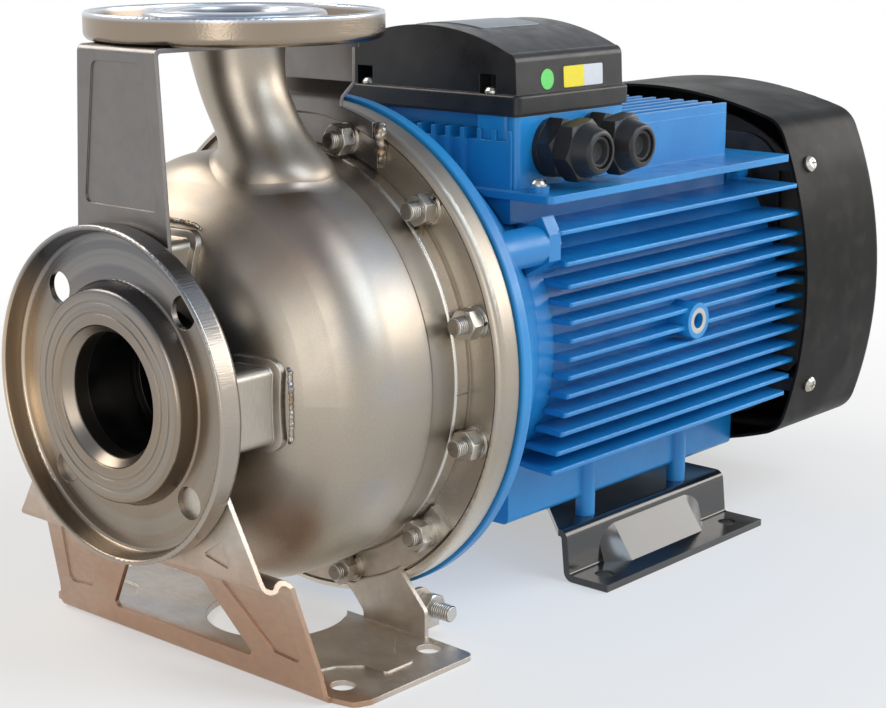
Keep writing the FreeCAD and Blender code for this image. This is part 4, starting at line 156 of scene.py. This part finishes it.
class Finish:
    """One procedural material on the pump's own coordinates."""

    def __init__(self, name, metallic=0.0, roughness=0.4):
        self.material = bpy.data.materials.new(name)
        self.material.use_nodes = True
        self.tree = self.material.node_tree
        self.shader = self.tree.nodes["Principled BSDF"]
        self.shader.inputs["Metallic"].default_value = metallic
        self.shader.inputs["Roughness"].default_value = roughness
        self.place = self.node("ShaderNodeTexCoord", {}, {}, "Object")
        self.x, self.y, self.z = self.split(self.place)
        self.heights = None

    def node(self, kind, settings, values, output=0):
        """Adds a node with its settings, then the values or wires of its sockets."""
        made = self.tree.nodes.new(kind)
        for key, value in settings.items():
            setattr(made, key, value)
        pairs = values.items() if isinstance(values, dict) else enumerate(values)
        for key, value in pairs:
            if isinstance(value, Wire):
                self.tree.links.new(value.socket, made.inputs[key])
            else:
                made.inputs[key].default_value = value
        return Wire(self, made.outputs[output])

    def split(self, vector):
        parts = self.tree.nodes.new("ShaderNodeSeparateXYZ")
        self.tree.links.new(vector.socket, parts.inputs[0])
        return [Wire(self, out) for out in parts.outputs]

    def join(self, x, y, z):
        return self.node("ShaderNodeCombineXYZ", {}, [x, y, z])

    def cloud(self, scale, detail=3.0, place=None, roughness=0.5):
        """Soft noise, 0 to 1, at so many swells a metre."""
        values = {"Vector": place or self.place, "Scale": scale, "Detail": detail, "Roughness": roughness}
        return self.node("ShaderNodeTexNoise", {}, values, "Fac")

    def about_shaft(self):
        """Distance from the shaft line."""
        up = self.z - SHAFT_Z
        return (self.x * self.x + up * up).root()

    def around(self, y, z):
        """Distance from a line across the pump at this y and z."""
        along = self.y - y
        up = self.z - z
        return (along * along + up * up).root()

    def from_point(self, x, y, z):
        """Distance from a point."""
        across = self.x - x
        aside = self.around(y, z)
        return (across * across + aside * aside).root()

    def about_discharge(self):
        """Distance from the discharge line."""
        along = self.y - DISCHARGE_Y
        return (self.x * self.x + along * along).root()

    def blend(self, mask, low, high):
        """Colour low where the mask is 0 and high where it is 1."""
        low = low if isinstance(low, Wire) else (*low, 1.0)
        high = high if isinstance(high, Wire) else (*high, 1.0)
        return self.node("ShaderNodeMix", {"data_type": "RGBA", "clamp_factor": True},
                         {0: mask, 6: low, 7: high}, 2)

    def colour(self, colour):
        if isinstance(colour, Wire):
            self.tree.links.new(colour.socket, self.shader.inputs["Base Color"])
        else:
            self.shader.inputs["Base Color"].default_value = (*colour, 1.0)

    def rough(self, amount):
        self.tree.links.new(amount.socket, self.shader.inputs["Roughness"])

    def rough_between(self, low, high, scale, detail=3.0):
        """A roughness that drifts softly between two values."""
        self.rough(self.cloud(scale, detail).ramp(0.3, 0.7, low, high))

    def relief(self, height, metres):
        """Adds a height, whose swing of 1 stands this many metres proud."""
        part = height * metres
        self.heights = part if self.heights is None else self.heights + part

    def coat(self, weight, roughness):
        self.shader.inputs["Coat Weight"].default_value = weight
        self.shader.inputs["Coat Roughness"].default_value = roughness

    def done(self, edge=0.0006):
        """Rounds the edges by this radius, adds the relief and gives the material."""
        soft = self.node("ShaderNodeBevel", {"samples": 6}, {"Radius": edge})
        if self.heights is None:
            self.tree.links.new(soft.socket, self.shader.inputs["Normal"])
            return self.material
        values = {"Strength": 1.0, "Distance": 1.0, "Height": self.heights, "Normal": soft}
        bump = self.node("ShaderNodeBump", {}, values)
        self.tree.links.new(bump.socket, self.shader.inputs["Normal"])
        return self.material


# Finishes

WARM_STEEL = (0.44, 0.39, 0.325)
BROWN_STEEL = (0.29, 0.24, 0.195)
COOL_STEEL = (0.36, 0.38, 0.41)
# A pale steel used for painted highlights
BRIGHT_STEEL = (0.66, 0.63, 0.58)
# A copper colour used for painted reflection of warm ground
COPPERY_STEEL = (0.50, 0.315, 0.215)


def steel_tone(finish, warm=WARM_STEEL, brown=BROWN_STEEL, cool=COOL_STEEL):
    """An uneven warm tone with brown and cool clouds: partly the sheet's own uneven tone, partly painted
    reflection of warm ground and bluish sky.
    """
    drift = finish.cloud(9.0, 2.0)
    shade = finish.blend(drift.ramp(0.52, 0.72), warm, brown)
    chill = finish.cloud(14.0, 2.0, finish.join(finish.y, finish.z, finish.x))
    return finish.blend(chill.ramp(0.55, 0.75) * 0.7, shade, cool)


def drawn_steel():
    """The deep-drawn bowl: tool rings, a soft satin, a painted dark brown reflection spot, a painted pale
    reflection on the underside, painted shade along the seam and a painted highlight on the collar strip.
    """
    finish = Finish("drawn_steel", 1.0)
    radius = finish.about_shaft()
    # Painted reflection: the lower bowl is blended towards a pale warm tone, standing in for a bright floor
    # mirrored in the underside.
    under = finish.z.ramp(0.03, 0.13, 1.0, 0.0)
    tone = finish.blend(under * 0.95, steel_tone(finish), (0.98, 0.92, 0.80))
    # Painted reflection: a dark brown spot high on the bowl, standing in for a dark reflection.
    reach = finish.from_point(*BRONZED_SPOT) + finish.cloud(45.0, 2.0) * 0.024
    tone = finish.blend(reach.ramp(0.026, 0.056, 0.85, 0.0), tone, (0.35, 0.26, 0.205))
    # Painted shade: the bowl is darkened in a band along its seam, where the groove between bowl and band
    # lies in shade.
    seam = finish.y.away_from(BOWL_SEAM_Y).ramp(0.0, 0.006, 1.0, 0.0)
    grain = finish.cloud(1500.0, 2.0)
    mottled = finish.blend((grain - 0.5) * 0.8 + 0.2, tone, BROWN_STEEL)
    aged = finish.blend(seam * 0.45, mottled, BROWN_STEEL)
    # Painted highlight: a pale strip on the collar's sloped band.
    within = finish.y.away_from(COLLAR_Y).ramp(0.0045, 0.0055, 1.0, 0.0)
    collar = within * radius.ramp(COLLAR_R, COLLAR_R + 0.0005, 1.0, 0.0)
    finish.colour(finish.blend(collar * 0.8, aged, BRIGHT_STEEL))
    rings = finish.cloud(1.0, 3.0, finish.join(radius * 700.0, finish.y * 700.0, 0.0))
    pits = finish.cloud(380.0, 3.0).ramp(0.72, 0.77)
    satin = finish.cloud(30.0, 3.0).ramp(0.3, 0.7, 0.34, 0.44) + (rings - 0.5) * 0.06
    finish.rough(satin - collar * 0.12 + under * 0.12)
    finish.relief(rings, 0.00001)
    finish.relief(grain, 0.000028)
    finish.relief(pits, -0.00002)
    finish.relief(finish.cloud(16.0, 1.0), 0.0004)
    return finish.done()


def folded_steel(name, clean, dull, cool, low=0.28, high=0.4):
    """Folded sheet: a fine mill grain along the sheet and shallow press marks."""
    finish = Finish(name, 1.0)
    mill = finish.cloud(1.0, 3.0, finish.join(finish.x * 160.0, finish.y * 900.0, finish.z * 160.0))
    tone = steel_tone(finish, clean, dull, cool)
    # Painted reflection: the front panel low down is tinted copper, standing in for warm ground mirrored in
    # it.
    front = finish.y.ramp(-0.042, -0.03, 1.0, 0.12)
    tint = finish.z.ramp(0.03, 0.12, 1.0, 0.0) * front * finish.cloud(8.0, 2.0).ramp(0.3, 0.6, 0.75, 1.0)
    aged = finish.blend(tint, tone, COPPERY_STEEL)
    finish.colour(finish.blend((mill - 0.5) * 0.6 + 0.15, aged, BROWN_STEEL))
    finish.rough(finish.cloud(45.0, 3.0).ramp(0.3, 0.7, low, high) + (mill - 0.5) * 0.05)
    finish.relief(mill, 0.000012)
    finish.relief(finish.cloud(20.0, 2.0), 0.0004)
    scuffs = finish.cloud(1.0, 2.0, finish.join(finish.x * 900.0, finish.z * 60.0, finish.y * 60.0))
    finish.relief(scuffs.ramp(0.68, 0.74), -0.00002)
    return finish.done(0.0008)


def turned_flange_steel(name, about, rim_radius, rim_shine, side_wear, face, face_from):
    """A pressed and turned flange: lathe rings, painted light on its left side, a painted reflection on its
    top that sets in with height, and a painted highlight on the rim.
    """
    finish = Finish(name, 1.0)
    radius = finish.about_shaft() if about == "shaft" else finish.about_discharge()
    rings = finish.cloud(1.0, 2.0, finish.join(radius * 1500.0, 0.0, 0.0))
    broad = finish.cloud(1.0, 2.0, finish.join(radius * 160.0, 0.3, 0.0))
    tone = steel_tone(finish, (0.30, 0.245, 0.19), (0.21, 0.165, 0.125), (0.20, 0.22, 0.25))
    # Painted reflection: the upper part takes its own tone by height, darker on the suction flange and
    # bluish white like sky on the discharge flange.
    tone = finish.blend(finish.z.ramp(*face_from), tone, face)
    # Painted light: the left side is blended lighter and warmer, as light falling there.
    tone = finish.blend(finish.x.ramp(-0.092, -0.055, side_wear, 0.0), tone, (0.66, 0.53, 0.39))
    rim = radius.ramp(rim_radius - 0.0028, rim_radius - 0.001)
    worked = finish.blend(broad.ramp(0.4, 0.65) * 0.4, tone, (0.36, 0.34, 0.31))
    # Painted highlight: the rim is blended towards pale steel.
    finish.colour(finish.blend(rim * rim_shine, worked, BRIGHT_STEEL))
    finish.rough(broad.ramp(0.3, 0.7, 0.24, 0.34) + (rings - 0.5) * 0.08)
    finish.relief(rings, 0.000014)
    chatter = finish.cloud(1.0, 1.0, finish.join(finish.x * 900.0, finish.y * 90.0, finish.z * 900.0))
    finish.relief(chatter * rim, 0.00009)
    return finish.done(0.0008)


def wetted_steel():
    """The pipe's bore and the impeller, coloured near black."""
    finish = Finish("wetted_steel", 1.0)
    stain = finish.cloud(35.0, 3.0)
    finish.colour(finish.blend(stain.ramp(0.3, 0.7), (0.055, 0.053, 0.052), (0.10, 0.095, 0.09)))
    finish.rough_between(0.32, 0.45, 80.0)
    marks = finish.join(finish.about_shaft() * 700.0, finish.y * 900.0, 0.0)
    finish.relief(finish.cloud(1.0, 2.0, marks), 0.00002)
    return finish.done(0.0005)


def weld_metal():
    """Weld beads: ripples with straw and blue heat tint."""
    finish = Finish("weld_metal", 1.0)
    heat = finish.cloud(120.0, 3.0)
    straw = finish.blend(heat.ramp(0.4, 0.62), (0.42, 0.38, 0.33), (0.30, 0.22, 0.15))
    finish.colour(finish.blend(finish.cloud(260.0, 2.0).ramp(0.58, 0.7), straw, (0.22, 0.24, 0.31)))
    finish.rough_between(0.22, 0.42, 500.0, 2.0)
    finish.relief(finish.cloud(900.0, 3.0), 0.00016)
    return finish.done(0.0003)


def plated_steel():
    """Zinc plated fasteners."""
    finish = Finish("plated_steel", 1.0)
    dull = finish.cloud(90.0, 2.0).ramp(0.35, 0.65)
    finish.colour(finish.blend(dull, (0.62, 0.60, 0.56), (0.50, 0.46, 0.40)))
    finish.rough_between(0.24, 0.4, 160.0)
    finish.relief(finish.cloud(1400.0, 2.0), 0.00002)
    return finish.done(0.0004)


def threaded_steel(name, along, pitch):
    """A plated thread: its turns are ridges along the stud, coloured darker in the grooves as painted shade
    and lighter on the crests as painted highlight.
    """
    finish = Finish(name, 1.0)
    line = finish.y if along == "y" else finish.x
    turns = (line * (2.0 * math.pi / pitch)).sine() * 0.5 + 0.5
    finish.colour(finish.blend(turns, (0.30, 0.27, 0.23), (0.66, 0.64, 0.60)))
    finish.rough_between(0.25, 0.38, 200.0, 2.0)
    finish.relief(turns, 0.0005)
    return finish.done(0.0002)


def blue_enamel(name, grain, depth, fine):
    """Air-dried blue enamel on a casting: sand grain under it, orange peel on it, bare eye bosses."""
    finish = Finish(name, 0.0, 0.36)
    sand = finish.cloud(grain, 4.0, None, 0.6)
    wear = finish.cloud(12.0, 3.0)
    clear = finish.blend(wear.ramp(0.35, 0.7), (0.007, 0.195, 0.50), (0.013, 0.255, 0.60))
    painted = finish.blend(sand.ramp(0.6, 0.8) * 0.35, clear, (0.04, 0.32, 0.66))
    boss = finish.around(EYE_BOSS_Y, SHAFT_Z).ramp(EYE_BOSS_R, EYE_BOSS_R + 0.0008, 1.0, 0.0)
    bare = (finish.x.away_from(0.0) > EYE_BOSS_X) * boss
    finish.colour(finish.blend(bare, painted, (0.55, 0.54, 0.52)))
    finish.tree.links.new(bare.socket, finish.shader.inputs["Metallic"])
    finish.rough_between(0.30, 0.46, 70.0)
    finish.relief(sand, depth)
    finish.relief(finish.cloud(fine, 2.0), 0.00003)
    finish.coat(0.15, 0.2)
    return finish.done(0.0009)


def black_sheet_enamel(name, low, high, coat, sheen):
    """Satin black enamel on pressed sheet, with faint press waves and dust."""
    finish = Finish(name, 0.0)
    dust = finish.cloud(60.0, 4.0)
    finish.colour(finish.blend(dust.ramp(0.45, 0.75), (0.008, 0.0075, 0.007), (0.02, 0.018, 0.016)))
    finish.rough_between(low, high, 25.0)
    finish.coat(coat, 0.16)
    finish.shader.inputs["Specular IOR Level"].default_value = sheen
    finish.relief(finish.cloud(18.0, 2.0), 0.0007)
    finish.relief(finish.cloud(1300.0, 2.0), 0.000025)
    return finish.done(0.0008)


def moulded_black(name, tone, grain, low, high):
    """Moulded black plastic with an eroded grain."""
    finish = Finish(name, 0.0)
    worn = finish.cloud(40.0, 2.0).ramp(0.35, 0.7)
    pale = (tone * 1.9, tone * 1.85, tone * 1.9)
    finish.colour(finish.blend(worn, (tone, tone, tone * 1.05), pale))
    finish.rough_between(low, high, 90.0)
    finish.relief(finish.cloud(grain, 3.0, None, 0.65), 0.00003)
    finish.shader.inputs["Specular IOR Level"].default_value = 0.38
    return finish.done(0.0006)


def dark_casting():
    """The rear shield, a casting painted dark."""
    finish = Finish("dark_casting", 0.0, 0.5)
    worn = finish.cloud(70.0, 3.0).ramp(0.35, 0.7)
    finish.colour(finish.blend(worn, (0.010, 0.011, 0.014), (0.028, 0.03, 0.036)))
    finish.relief(finish.cloud(500.0, 4.0), 0.00012)
    return finish.done(0.0008)


def moulded_rubber():
    """Black rubber of the bellows, gasket and gland inserts."""
    finish = Finish("moulded_rubber", 0.0, 0.62)
    finish.colour(finish.blend(finish.cloud(150.0, 2.0), (0.010, 0.010, 0.011), (0.026, 0.026, 0.027)))
    finish.relief(finish.cloud(900.0, 3.0), 0.00004)
    return finish.done(0.0005)


def ground_steel():
    """Ground and turned steel inside the pump and the motor."""
    finish = Finish("ground_steel", 1.0)
    marks = finish.cloud(1.0, 2.0, finish.join(finish.about_shaft() * 900.0, finish.y * 1600.0, 0.0))
    finish.colour(finish.blend(marks, (0.56, 0.55, 0.53), (0.70, 0.69, 0.67)))
    finish.rough(marks.ramp(0.3, 0.7, 0.16, 0.28))
    finish.relief(marks, 0.00001)
    return finish.done(0.0004)


def lapped_face(name, dark, light, roughness):
    """The seal's lapped rings, with fine rings about the shaft."""
    finish = Finish(name, 0.0, roughness)
    finish.colour(finish.blend(finish.cloud(300.0, 2.0), dark, light))
    finish.relief(finish.cloud(1.0, 2.0, finish.join(finish.about_shaft() * 1800.0, 0.0, 0.0)), 0.000006)
    return finish.done(0.0003)


def stacked_sheet():
    """The edges of stacked electrical sheet."""
    finish = Finish("stacked_sheet", 0.6, 0.5)
    edges = (finish.y * (2.0 * math.pi / CORE_SHEET)).sine() * 0.5 + 0.5
    finish.colour(finish.blend(edges, (0.13, 0.12, 0.12), (0.30, 0.29, 0.28)))
    finish.relief(edges, 0.0001)
    return finish.done(0.0004)


def varnished_copper():
    """End windings: varnished wires laid round the shaft."""
    finish = Finish("varnished_copper", 0.7, 0.34)
    lay = finish.join(finish.about_shaft() * 420.0, finish.y * 420.0, finish.x * 40.0)
    wires = finish.cloud(1.0, 2.0, lay)
    finish.colour(finish.blend(wires.ramp(0.35, 0.65), (0.20, 0.055, 0.015), (0.55, 0.22, 0.07)))
    finish.relief(wires, 0.0009)
    return finish.done(0.0006)


def terminal_brass():
    """Brass studs of the terminal block."""
    finish = Finish("terminal_brass", 1.0)
    finish.colour(finish.blend(finish.cloud(300.0, 2.0), (0.60, 0.44, 0.18), (0.76, 0.60, 0.30)))
    finish.rough_between(0.2, 0.34, 500.0, 2.0)
    return finish.done(0.0003)


def moulded_grey():
    """Grey plastic of the fan and the terminal block."""
    finish = Finish("moulded_grey", 0.0, 0.48)
    finish.colour(finish.blend(finish.cloud(90.0, 3.0), (0.12, 0.12, 0.125), (0.19, 0.19, 0.195)))
    finish.relief(finish.cloud(900.0, 2.0), 0.00003)
    return finish.done(0.0006)


def blank_plate_metal():
    """The bare grey plate on the lid, brushed along the shaft."""
    finish = Finish("blank_plate_metal", 0.55)
    brush = finish.cloud(1.0, 2.0, finish.join(finish.x * 2200.0, finish.y * 60.0, 0.0))
    finish.colour(finish.blend(brush, (0.20, 0.235, 0.27), (0.30, 0.335, 0.37)))
    finish.rough(brush.ramp(0.3, 0.7, 0.3, 0.42))
    finish.relief(brush, 0.000008)
    return finish.done(0.0003)


def printed_film():
    """Blank stickers: the dot is green, the other one yellow and pale halves."""
    finish = Finish("printed_film", 0.0, 0.28)
    fade = finish.cloud(500.0, 2.0)
    yellow = finish.blend(fade, (0.78, 0.62, 0.012), (0.86, 0.72, 0.03))
    pale = finish.blend(fade, (0.56, 0.58, 0.62), (0.66, 0.67, 0.70))
    halves = finish.blend(finish.y > YELLOW_END_Y, yellow, pale)
    green = finish.blend(fade, (0.10, 0.60, 0.10), (0.17, 0.70, 0.17))
    finish.colour(finish.blend(finish.y > GREEN_DOT_END_Y, green, halves))
    finish.relief(fade, 0.000006)
    return finish.done(0.0002)


def finish_nodes():
    """Gives every node of the frame its finish, and returns the finishes by name."""
    casting = blue_enamel("blue_cast_aluminium", grain=420.0, depth=0.00013, fine=1500.0)
    iron = blue_enamel("blue_cast_iron", grain=260.0, depth=0.00022, fine=1100.0)
    cap = moulded_black("moulded_gland_black", tone=0.012, grain=1200.0, low=0.26, high=0.38)
    lid = moulded_black("moulded_lid_black", tone=0.011, grain=900.0, low=0.27, high=0.37)
    plated = plated_steel()
    ground = ground_steel()
    # Lit and shaded copies of one sheet steel, set part by part: the foot and struts lighter as painted
    # light, the foot against the shade under the bowl, and the bracket darker and cooler as painted shade.
    bracket = folded_steel("bracket_steel", clean=(0.19, 0.185, 0.185), dull=(0.145, 0.135, 0.13),
                           cool=(0.16, 0.185, 0.225))
    foot = folded_steel("foot_steel", clean=(0.66, 0.61, 0.54), dull=(0.50, 0.44, 0.38),
                        cool=(0.50, 0.52, 0.54), low=0.38, high=0.52)
    strut = folded_steel("strut_steel", clean=(0.50, 0.455, 0.395), dull=(0.40, 0.35, 0.29),
                         cool=(0.44, 0.45, 0.47))
    # The suction flange gets a painted rim highlight, painted warm light on its left side and a darker
    # painted top; the discharge flange gets a bluish white painted reflection on its top.
    suction = turned_flange_steel("suction_flange_steel", "shaft", SUCTION_RIM_R, rim_shine=0.3,
                                  side_wear=0.8, face=(0.16, 0.16, 0.17), face_from=SUCTION_UPPER)
    discharge = turned_flange_steel("discharge_flange_steel", "discharge", DISCHARGE_RIM_R, rim_shine=0.0,
                                    side_wear=0.0, face=(0.66, 0.71, 0.79), face_from=DISCHARGE_TOP)
    rubber = moulded_rubber()
    ceramic = lapped_face("ceramic_face", dark=(0.70, 0.68, 0.62), light=(0.80, 0.78, 0.72), roughness=0.15)
    carbon = lapped_face("carbon_face", dark=(0.02, 0.02, 0.021), light=(0.05, 0.05, 0.052), roughness=0.3)
    cover = black_sheet_enamel("black_cover_enamel", low=0.34, high=0.44, coat=0.0, sheen=0.1)
    motor_foot = black_sheet_enamel("black_foot_enamel", low=0.16, high=0.26, coat=1.0, sheen=0.32)
    chosen = {
        drawn_steel(): ("pump_casing", "casing_flange", "back_cover", "discharge_neck"),
        bracket: ("flange_bracket",),
        foot: ("pump_foot",),
        strut: ("brace_top", "brace_right", "brace_left"),
        suction: ("suction_flange",),
        discharge: ("discharge_flange",),
        wetted_steel(): ("suction_pipe", "impeller", "wear_ring"),
        plated: ("casing_nuts", "lock_washers", "flat_washers", "jack_nut", "adapter_bolts",
                 "motor_foot_screws", "shield_screws", "cover_screws", "lid_screws", "earth_screw"),
        threaded_steel("stud_thread", "y", THREAD_PITCH): ("casing_studs",),
        threaded_steel("jack_thread", "x", THREAD_PITCH): ("jack_bolt",),
        ground: ("motor_shaft", "shaft_key", "front_bearing", "rear_bearing", "impeller_nut",
                 "impeller_washer"),
        ceramic: ("seal_seat",),
        carbon: ("seal_ring",),
        rubber: ("seal_bellows", "casing_oring", "lid_gasket", "gland_inserts"),
        stacked_sheet(): ("stator_core", "rotor_core"),
        varnished_copper(): ("stator_windings",),
        iron: ("motor_adapter",),
        casting: ("motor_frame", "terminal_box"),
        cover: ("fan_cover",),
        motor_foot: ("motor_foot",),
        dark_casting(): ("rear_end_shield",),
        moulded_grey(): ("cooling_fan", "terminal_block"),
        lid: ("terminal_lid",),
        cap: ("gland_bodies", "gland_caps", "gland_locknuts"),
        blank_plate_metal(): ("lid_plate",),
        printed_film(): ("lid_stickers",),
        terminal_brass(): ("terminal_studs",),
    }
    for material, names in chosen.items():
        for name in names:
            for slot in NODES[name].material_slots:
                slot.material = material
    return {m.name: m for m in chosen}


# Pieces modelled here: weld beads and the smooth weld round the neck


def start_fresh():
    """Leaves edit mode with nothing selected."""
    if bpy.context.object and bpy.context.object.mode != "OBJECT":
        bpy.ops.object.mode_set(mode="OBJECT")
    bpy.ops.object.select_all(action="DESELECT")


def weld_lump(place, heading, size):
    """One ripple of a bead: a ball pressed flat and leaning along the seam."""
    start_fresh()
    bpy.ops.mesh.primitive_uv_sphere_add(segments=12, ring_count=8, radius=size, location=place)
    lump = bpy.context.object
    lump.rotation_euler = heading.to_track_quat("X", "Z").to_euler()
    lump.scale = (0.75, 1.0, 0.62)
    bpy.ops.object.transform_apply(location=True, rotation=True, scale=True)
    return lump


# How near to a knot a bead swells, and by what part of its size
KNOT_REACH = 0.0045
KNOT_SWELL = 1.1


def weld_bead(name, path, size, step, metal, knots=()):
    """A row of overlapping ripples along a path, run together into one skin and thicker at the knots."""
    lumps = []
    count = 0
    for start, end in zip(path, path[1:]):
        run = end - start
        ripples = max(1, round(run.length / step))
        for k in range(ripples):
            swell = 1.0 + 0.13 * math.sin(count * 2.4) + 0.08 * math.sin(count * 5.1)
            sway = Vector((math.sin(count * 1.7), math.cos(count * 2.9), math.sin(count * 3.7))) * size * 0.2
            place = start + run * (k / ripples)
            nearest = min([(place - knot).length for knot in knots], default=KNOT_REACH)
            swell += KNOT_SWELL * max(0.0, 1.0 - nearest / KNOT_REACH)
            lumps.append(weld_lump(place + sway, run, size * swell))
            count += 1
    start_fresh()
    for lump in lumps:
        lump.select_set(True)
    bead = lumps[0]
    bpy.context.view_layer.objects.active = bead
    bpy.ops.object.join()
    bead.name = name
    skin = bead.modifiers.new("skin", "REMESH")
    skin.mode = "VOXEL"
    skin.voxel_size = size * 0.22
    bpy.ops.object.modifier_apply(modifier="skin")
    ease = bead.modifiers.new("ease", "SMOOTH")
    ease.factor = 0.6
    ease.iterations = 7
    bpy.ops.object.modifier_apply(modifier="ease")
    bpy.ops.object.shade_smooth()
    bead.data.materials.clear()
    bead.data.materials.append(metal)
    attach(bead, "housing")


def on_surface(node, point, lift):
    """The nearest point of a CAD piece, lifted off it a little."""
    _, place, normal, _ = NODES[node].closest_point_on_mesh(point)
    return place + normal * lift


# Across the strut and out from the shaft line, one half of the outline and then its mirror
HALF_OUTLINE = ((-0.0266, 0.0575), (-0.0272, 0.066), (-0.0268, 0.076), (-0.0245, 0.084), (-0.018, 0.0876),
                (-0.006, 0.0884))
CORNER = 3
BOWL_FRONT_Y = -0.052


def brace_bead(name, turn, metal):
    """The bead round a strut's flared end on the bowl, thicker at the two corners."""
    outline = HALF_OUTLINE + tuple((-side, reach) for side, reach in reversed(HALF_OUTLINE))
    path = []
    for side, reach in outline:
        flat = Euler((0.0, turn, 0.0)).to_matrix() @ Vector((side, 0.0, reach))
        path.append(on_surface("pump_casing", Vector((flat.x, BOWL_FRONT_Y, SHAFT_Z + flat.z)), 0.0014))
    weld_bead(name, path, size=0.0014, step=0.0008, metal=metal, knots=(path[CORNER], path[-1 - CORNER]))


EAR_END_X = 0.0582
EAR_FACE_Y = 0.048
EAR_HEIGHTS = (0.2765, 0.282, 0.2875, 0.293, 0.2985, 0.3035)


def ear_bead(name, side, metal):
    """The bead down the bracket ear's free end on the casing flange."""
    path = []
    for z in EAR_HEIGHTS:
        path.append(on_surface("casing_flange", Vector((side * EAR_END_X, EAR_FACE_Y, z)), 0.0012))
    weld_bead(name, path, size=0.0035, step=0.0019, metal=metal)


# Which way each plane faces, and where it cuts, round the root of the neck
NECK_CUTS = (
    ((1, 0, 0), 0.082),
    ((-1, 0, 0), 0.032),
    ((0, 1, 0), 0.052),
    ((0, -1, 0), 0.052),
    ((0, 0, 1), 0.312),
    ((0, 0, -1), -0.232),
)


def neck_fillet(metal):
    """The weld ground smooth round the neck: neck and bowl cut out near it, run together and eased."""
    start_fresh()
    copies = []
    for node in ("discharge_neck", "pump_casing"):
        copy = NODES[node].copy()
        copy.data = NODES[node].data.copy()
        bpy.context.scene.collection.objects.link(copy)
        copies.append(copy)
        copy.select_set(True)
    fillet = copies[0]
    bpy.context.view_layer.objects.active = fillet
    bpy.ops.object.join()
    fillet.name = "neck_weld"
    bpy.ops.object.mode_set(mode="EDIT")
    for facing, limit in NECK_CUTS:
        bpy.ops.mesh.select_all(action="SELECT")
        bpy.ops.mesh.remove_doubles(threshold=0.000005)
        point = Vector(facing) * limit
        bpy.ops.mesh.bisect(plane_co=point, plane_no=facing, clear_outer=True, use_fill=True)
    bpy.ops.object.mode_set(mode="OBJECT")
    skin = fillet.modifiers.new("skin", "REMESH")
    skin.mode = "VOXEL"
    skin.voxel_size = 0.0013
    bpy.ops.object.modifier_apply(modifier="skin")
    ease = fillet.modifiers.new("ease", "SMOOTH")
    ease.factor = 0.7
    ease.iterations = 90
    bpy.ops.object.modifier_apply(modifier="ease")
    bpy.ops.object.shade_smooth()
    fillet.data.materials.clear()
    fillet.data.materials.append(metal)
    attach(fillet, "housing")


JOINT_R = 0.1228
JOINT_ANGLE = math.radians(-3.0)
JOINT_Y = (0.0400, 0.0500)


def collar_joint(metal):
    """The butt weld across the collar strip."""
    x = JOINT_R * math.cos(JOINT_ANGLE)
    z = SHAFT_Z + JOINT_R * math.sin(JOINT_ANGLE)
    path = [Vector((x, y, z)) for y in JOINT_Y]
    weld_bead("collar_joint_weld", path, size=0.0006, step=0.0009, metal=metal)


# Floor and surroundings


def pale_floor():
    """Pale paper that keeps the pump's shadow near it and turns plain white farther off."""
    start_fresh()
    bpy.ops.mesh.primitive_plane_add(size=60.0, location=(0.0, 0.0, -0.0003))
    floor = bpy.context.object
    floor.name = "studio_floor"
    finish = Finish("studio_paper", 0.0, 0.75)
    far = (finish.x * finish.x + finish.y * finish.y).root().ramp(0.40, 1.15, 0.46, 1.0)
    finish.colour((0.84, 0.83, 0.82))
    white = finish.node("ShaderNodeEmission", {}, {"Color": (1.0, 1.0, 1.0, 1.0), "Strength": 1.0})
    mixed = finish.node("ShaderNodeMixShader", {}, [far, Wire(finish, finish.shader.outputs[0]), white])
    output = finish.tree.nodes["Material Output"]
    finish.tree.links.new(mixed.socket, output.inputs["Surface"])
    floor.data.materials.append(finish.material)


def pale_world():
    """An even pale light, seen and mirrored as white at the horizon and bluish overhead."""
    world = bpy.data.worlds.new("studio_world")
    bpy.context.scene.world = world
    world.use_nodes = True
    tree = world.node_tree
    light = tree.nodes["Background"]
    light.inputs["Color"].default_value = (0.95, 0.97, 1.0, 1.0)
    light.inputs["Strength"].default_value = 0.30
    seen = tree.nodes.new("ShaderNodeBackground")
    ramp = tree.nodes.new("ShaderNodeValToRGB")
    stops = ((0.08, (1.0, 0.99, 0.97, 1.0)), (0.80, (0.30, 0.36, 0.46, 1.0)))
    for element, (position, colour) in zip(ramp.color_ramp.elements, stops):
        element.position = position
        element.color = colour
    facing = tree.nodes.new("ShaderNodeTexCoord")
    height = tree.nodes.new("ShaderNodeSeparateXYZ")
    tree.links.new(facing.outputs["Generated"], height.inputs[0])
    tree.links.new(height.outputs["Z"], ramp.inputs[0])
    tree.links.new(ramp.outputs[0], seen.inputs["Color"])
    path = tree.nodes.new("ShaderNodeLightPath")
    diffuse = tree.nodes.new("ShaderNodeMixShader")
    tree.links.new(path.outputs["Is Diffuse Ray"], diffuse.inputs[0])
    tree.links.new(seen.outputs[0], diffuse.inputs[1])
    tree.links.new(light.outputs[0], diffuse.inputs[2])
    tree.links.new(diffuse.outputs[0], tree.nodes["World Output"].inputs["Surface"])


bpy.context.scene.view_settings.view_transform = "Standard"
photo_camera()
studio_lamps()
pale_world()
pale_floor()
FINISHES = finish_nodes()
bead_metal = weld_metal()
brace_bead("brace_top_weld", 0.0, bead_metal)
brace_bead("brace_right_weld", math.pi / 2, bead_metal)
brace_bead("brace_left_weld", -math.pi / 2, bead_metal)
ear_bead("ear_weld_right", 1.0, bead_metal)
ear_bead("ear_weld_left", -1.0, bead_metal)
neck_fillet(FINISHES["drawn_steel"])
collar_joint(bead_metal)
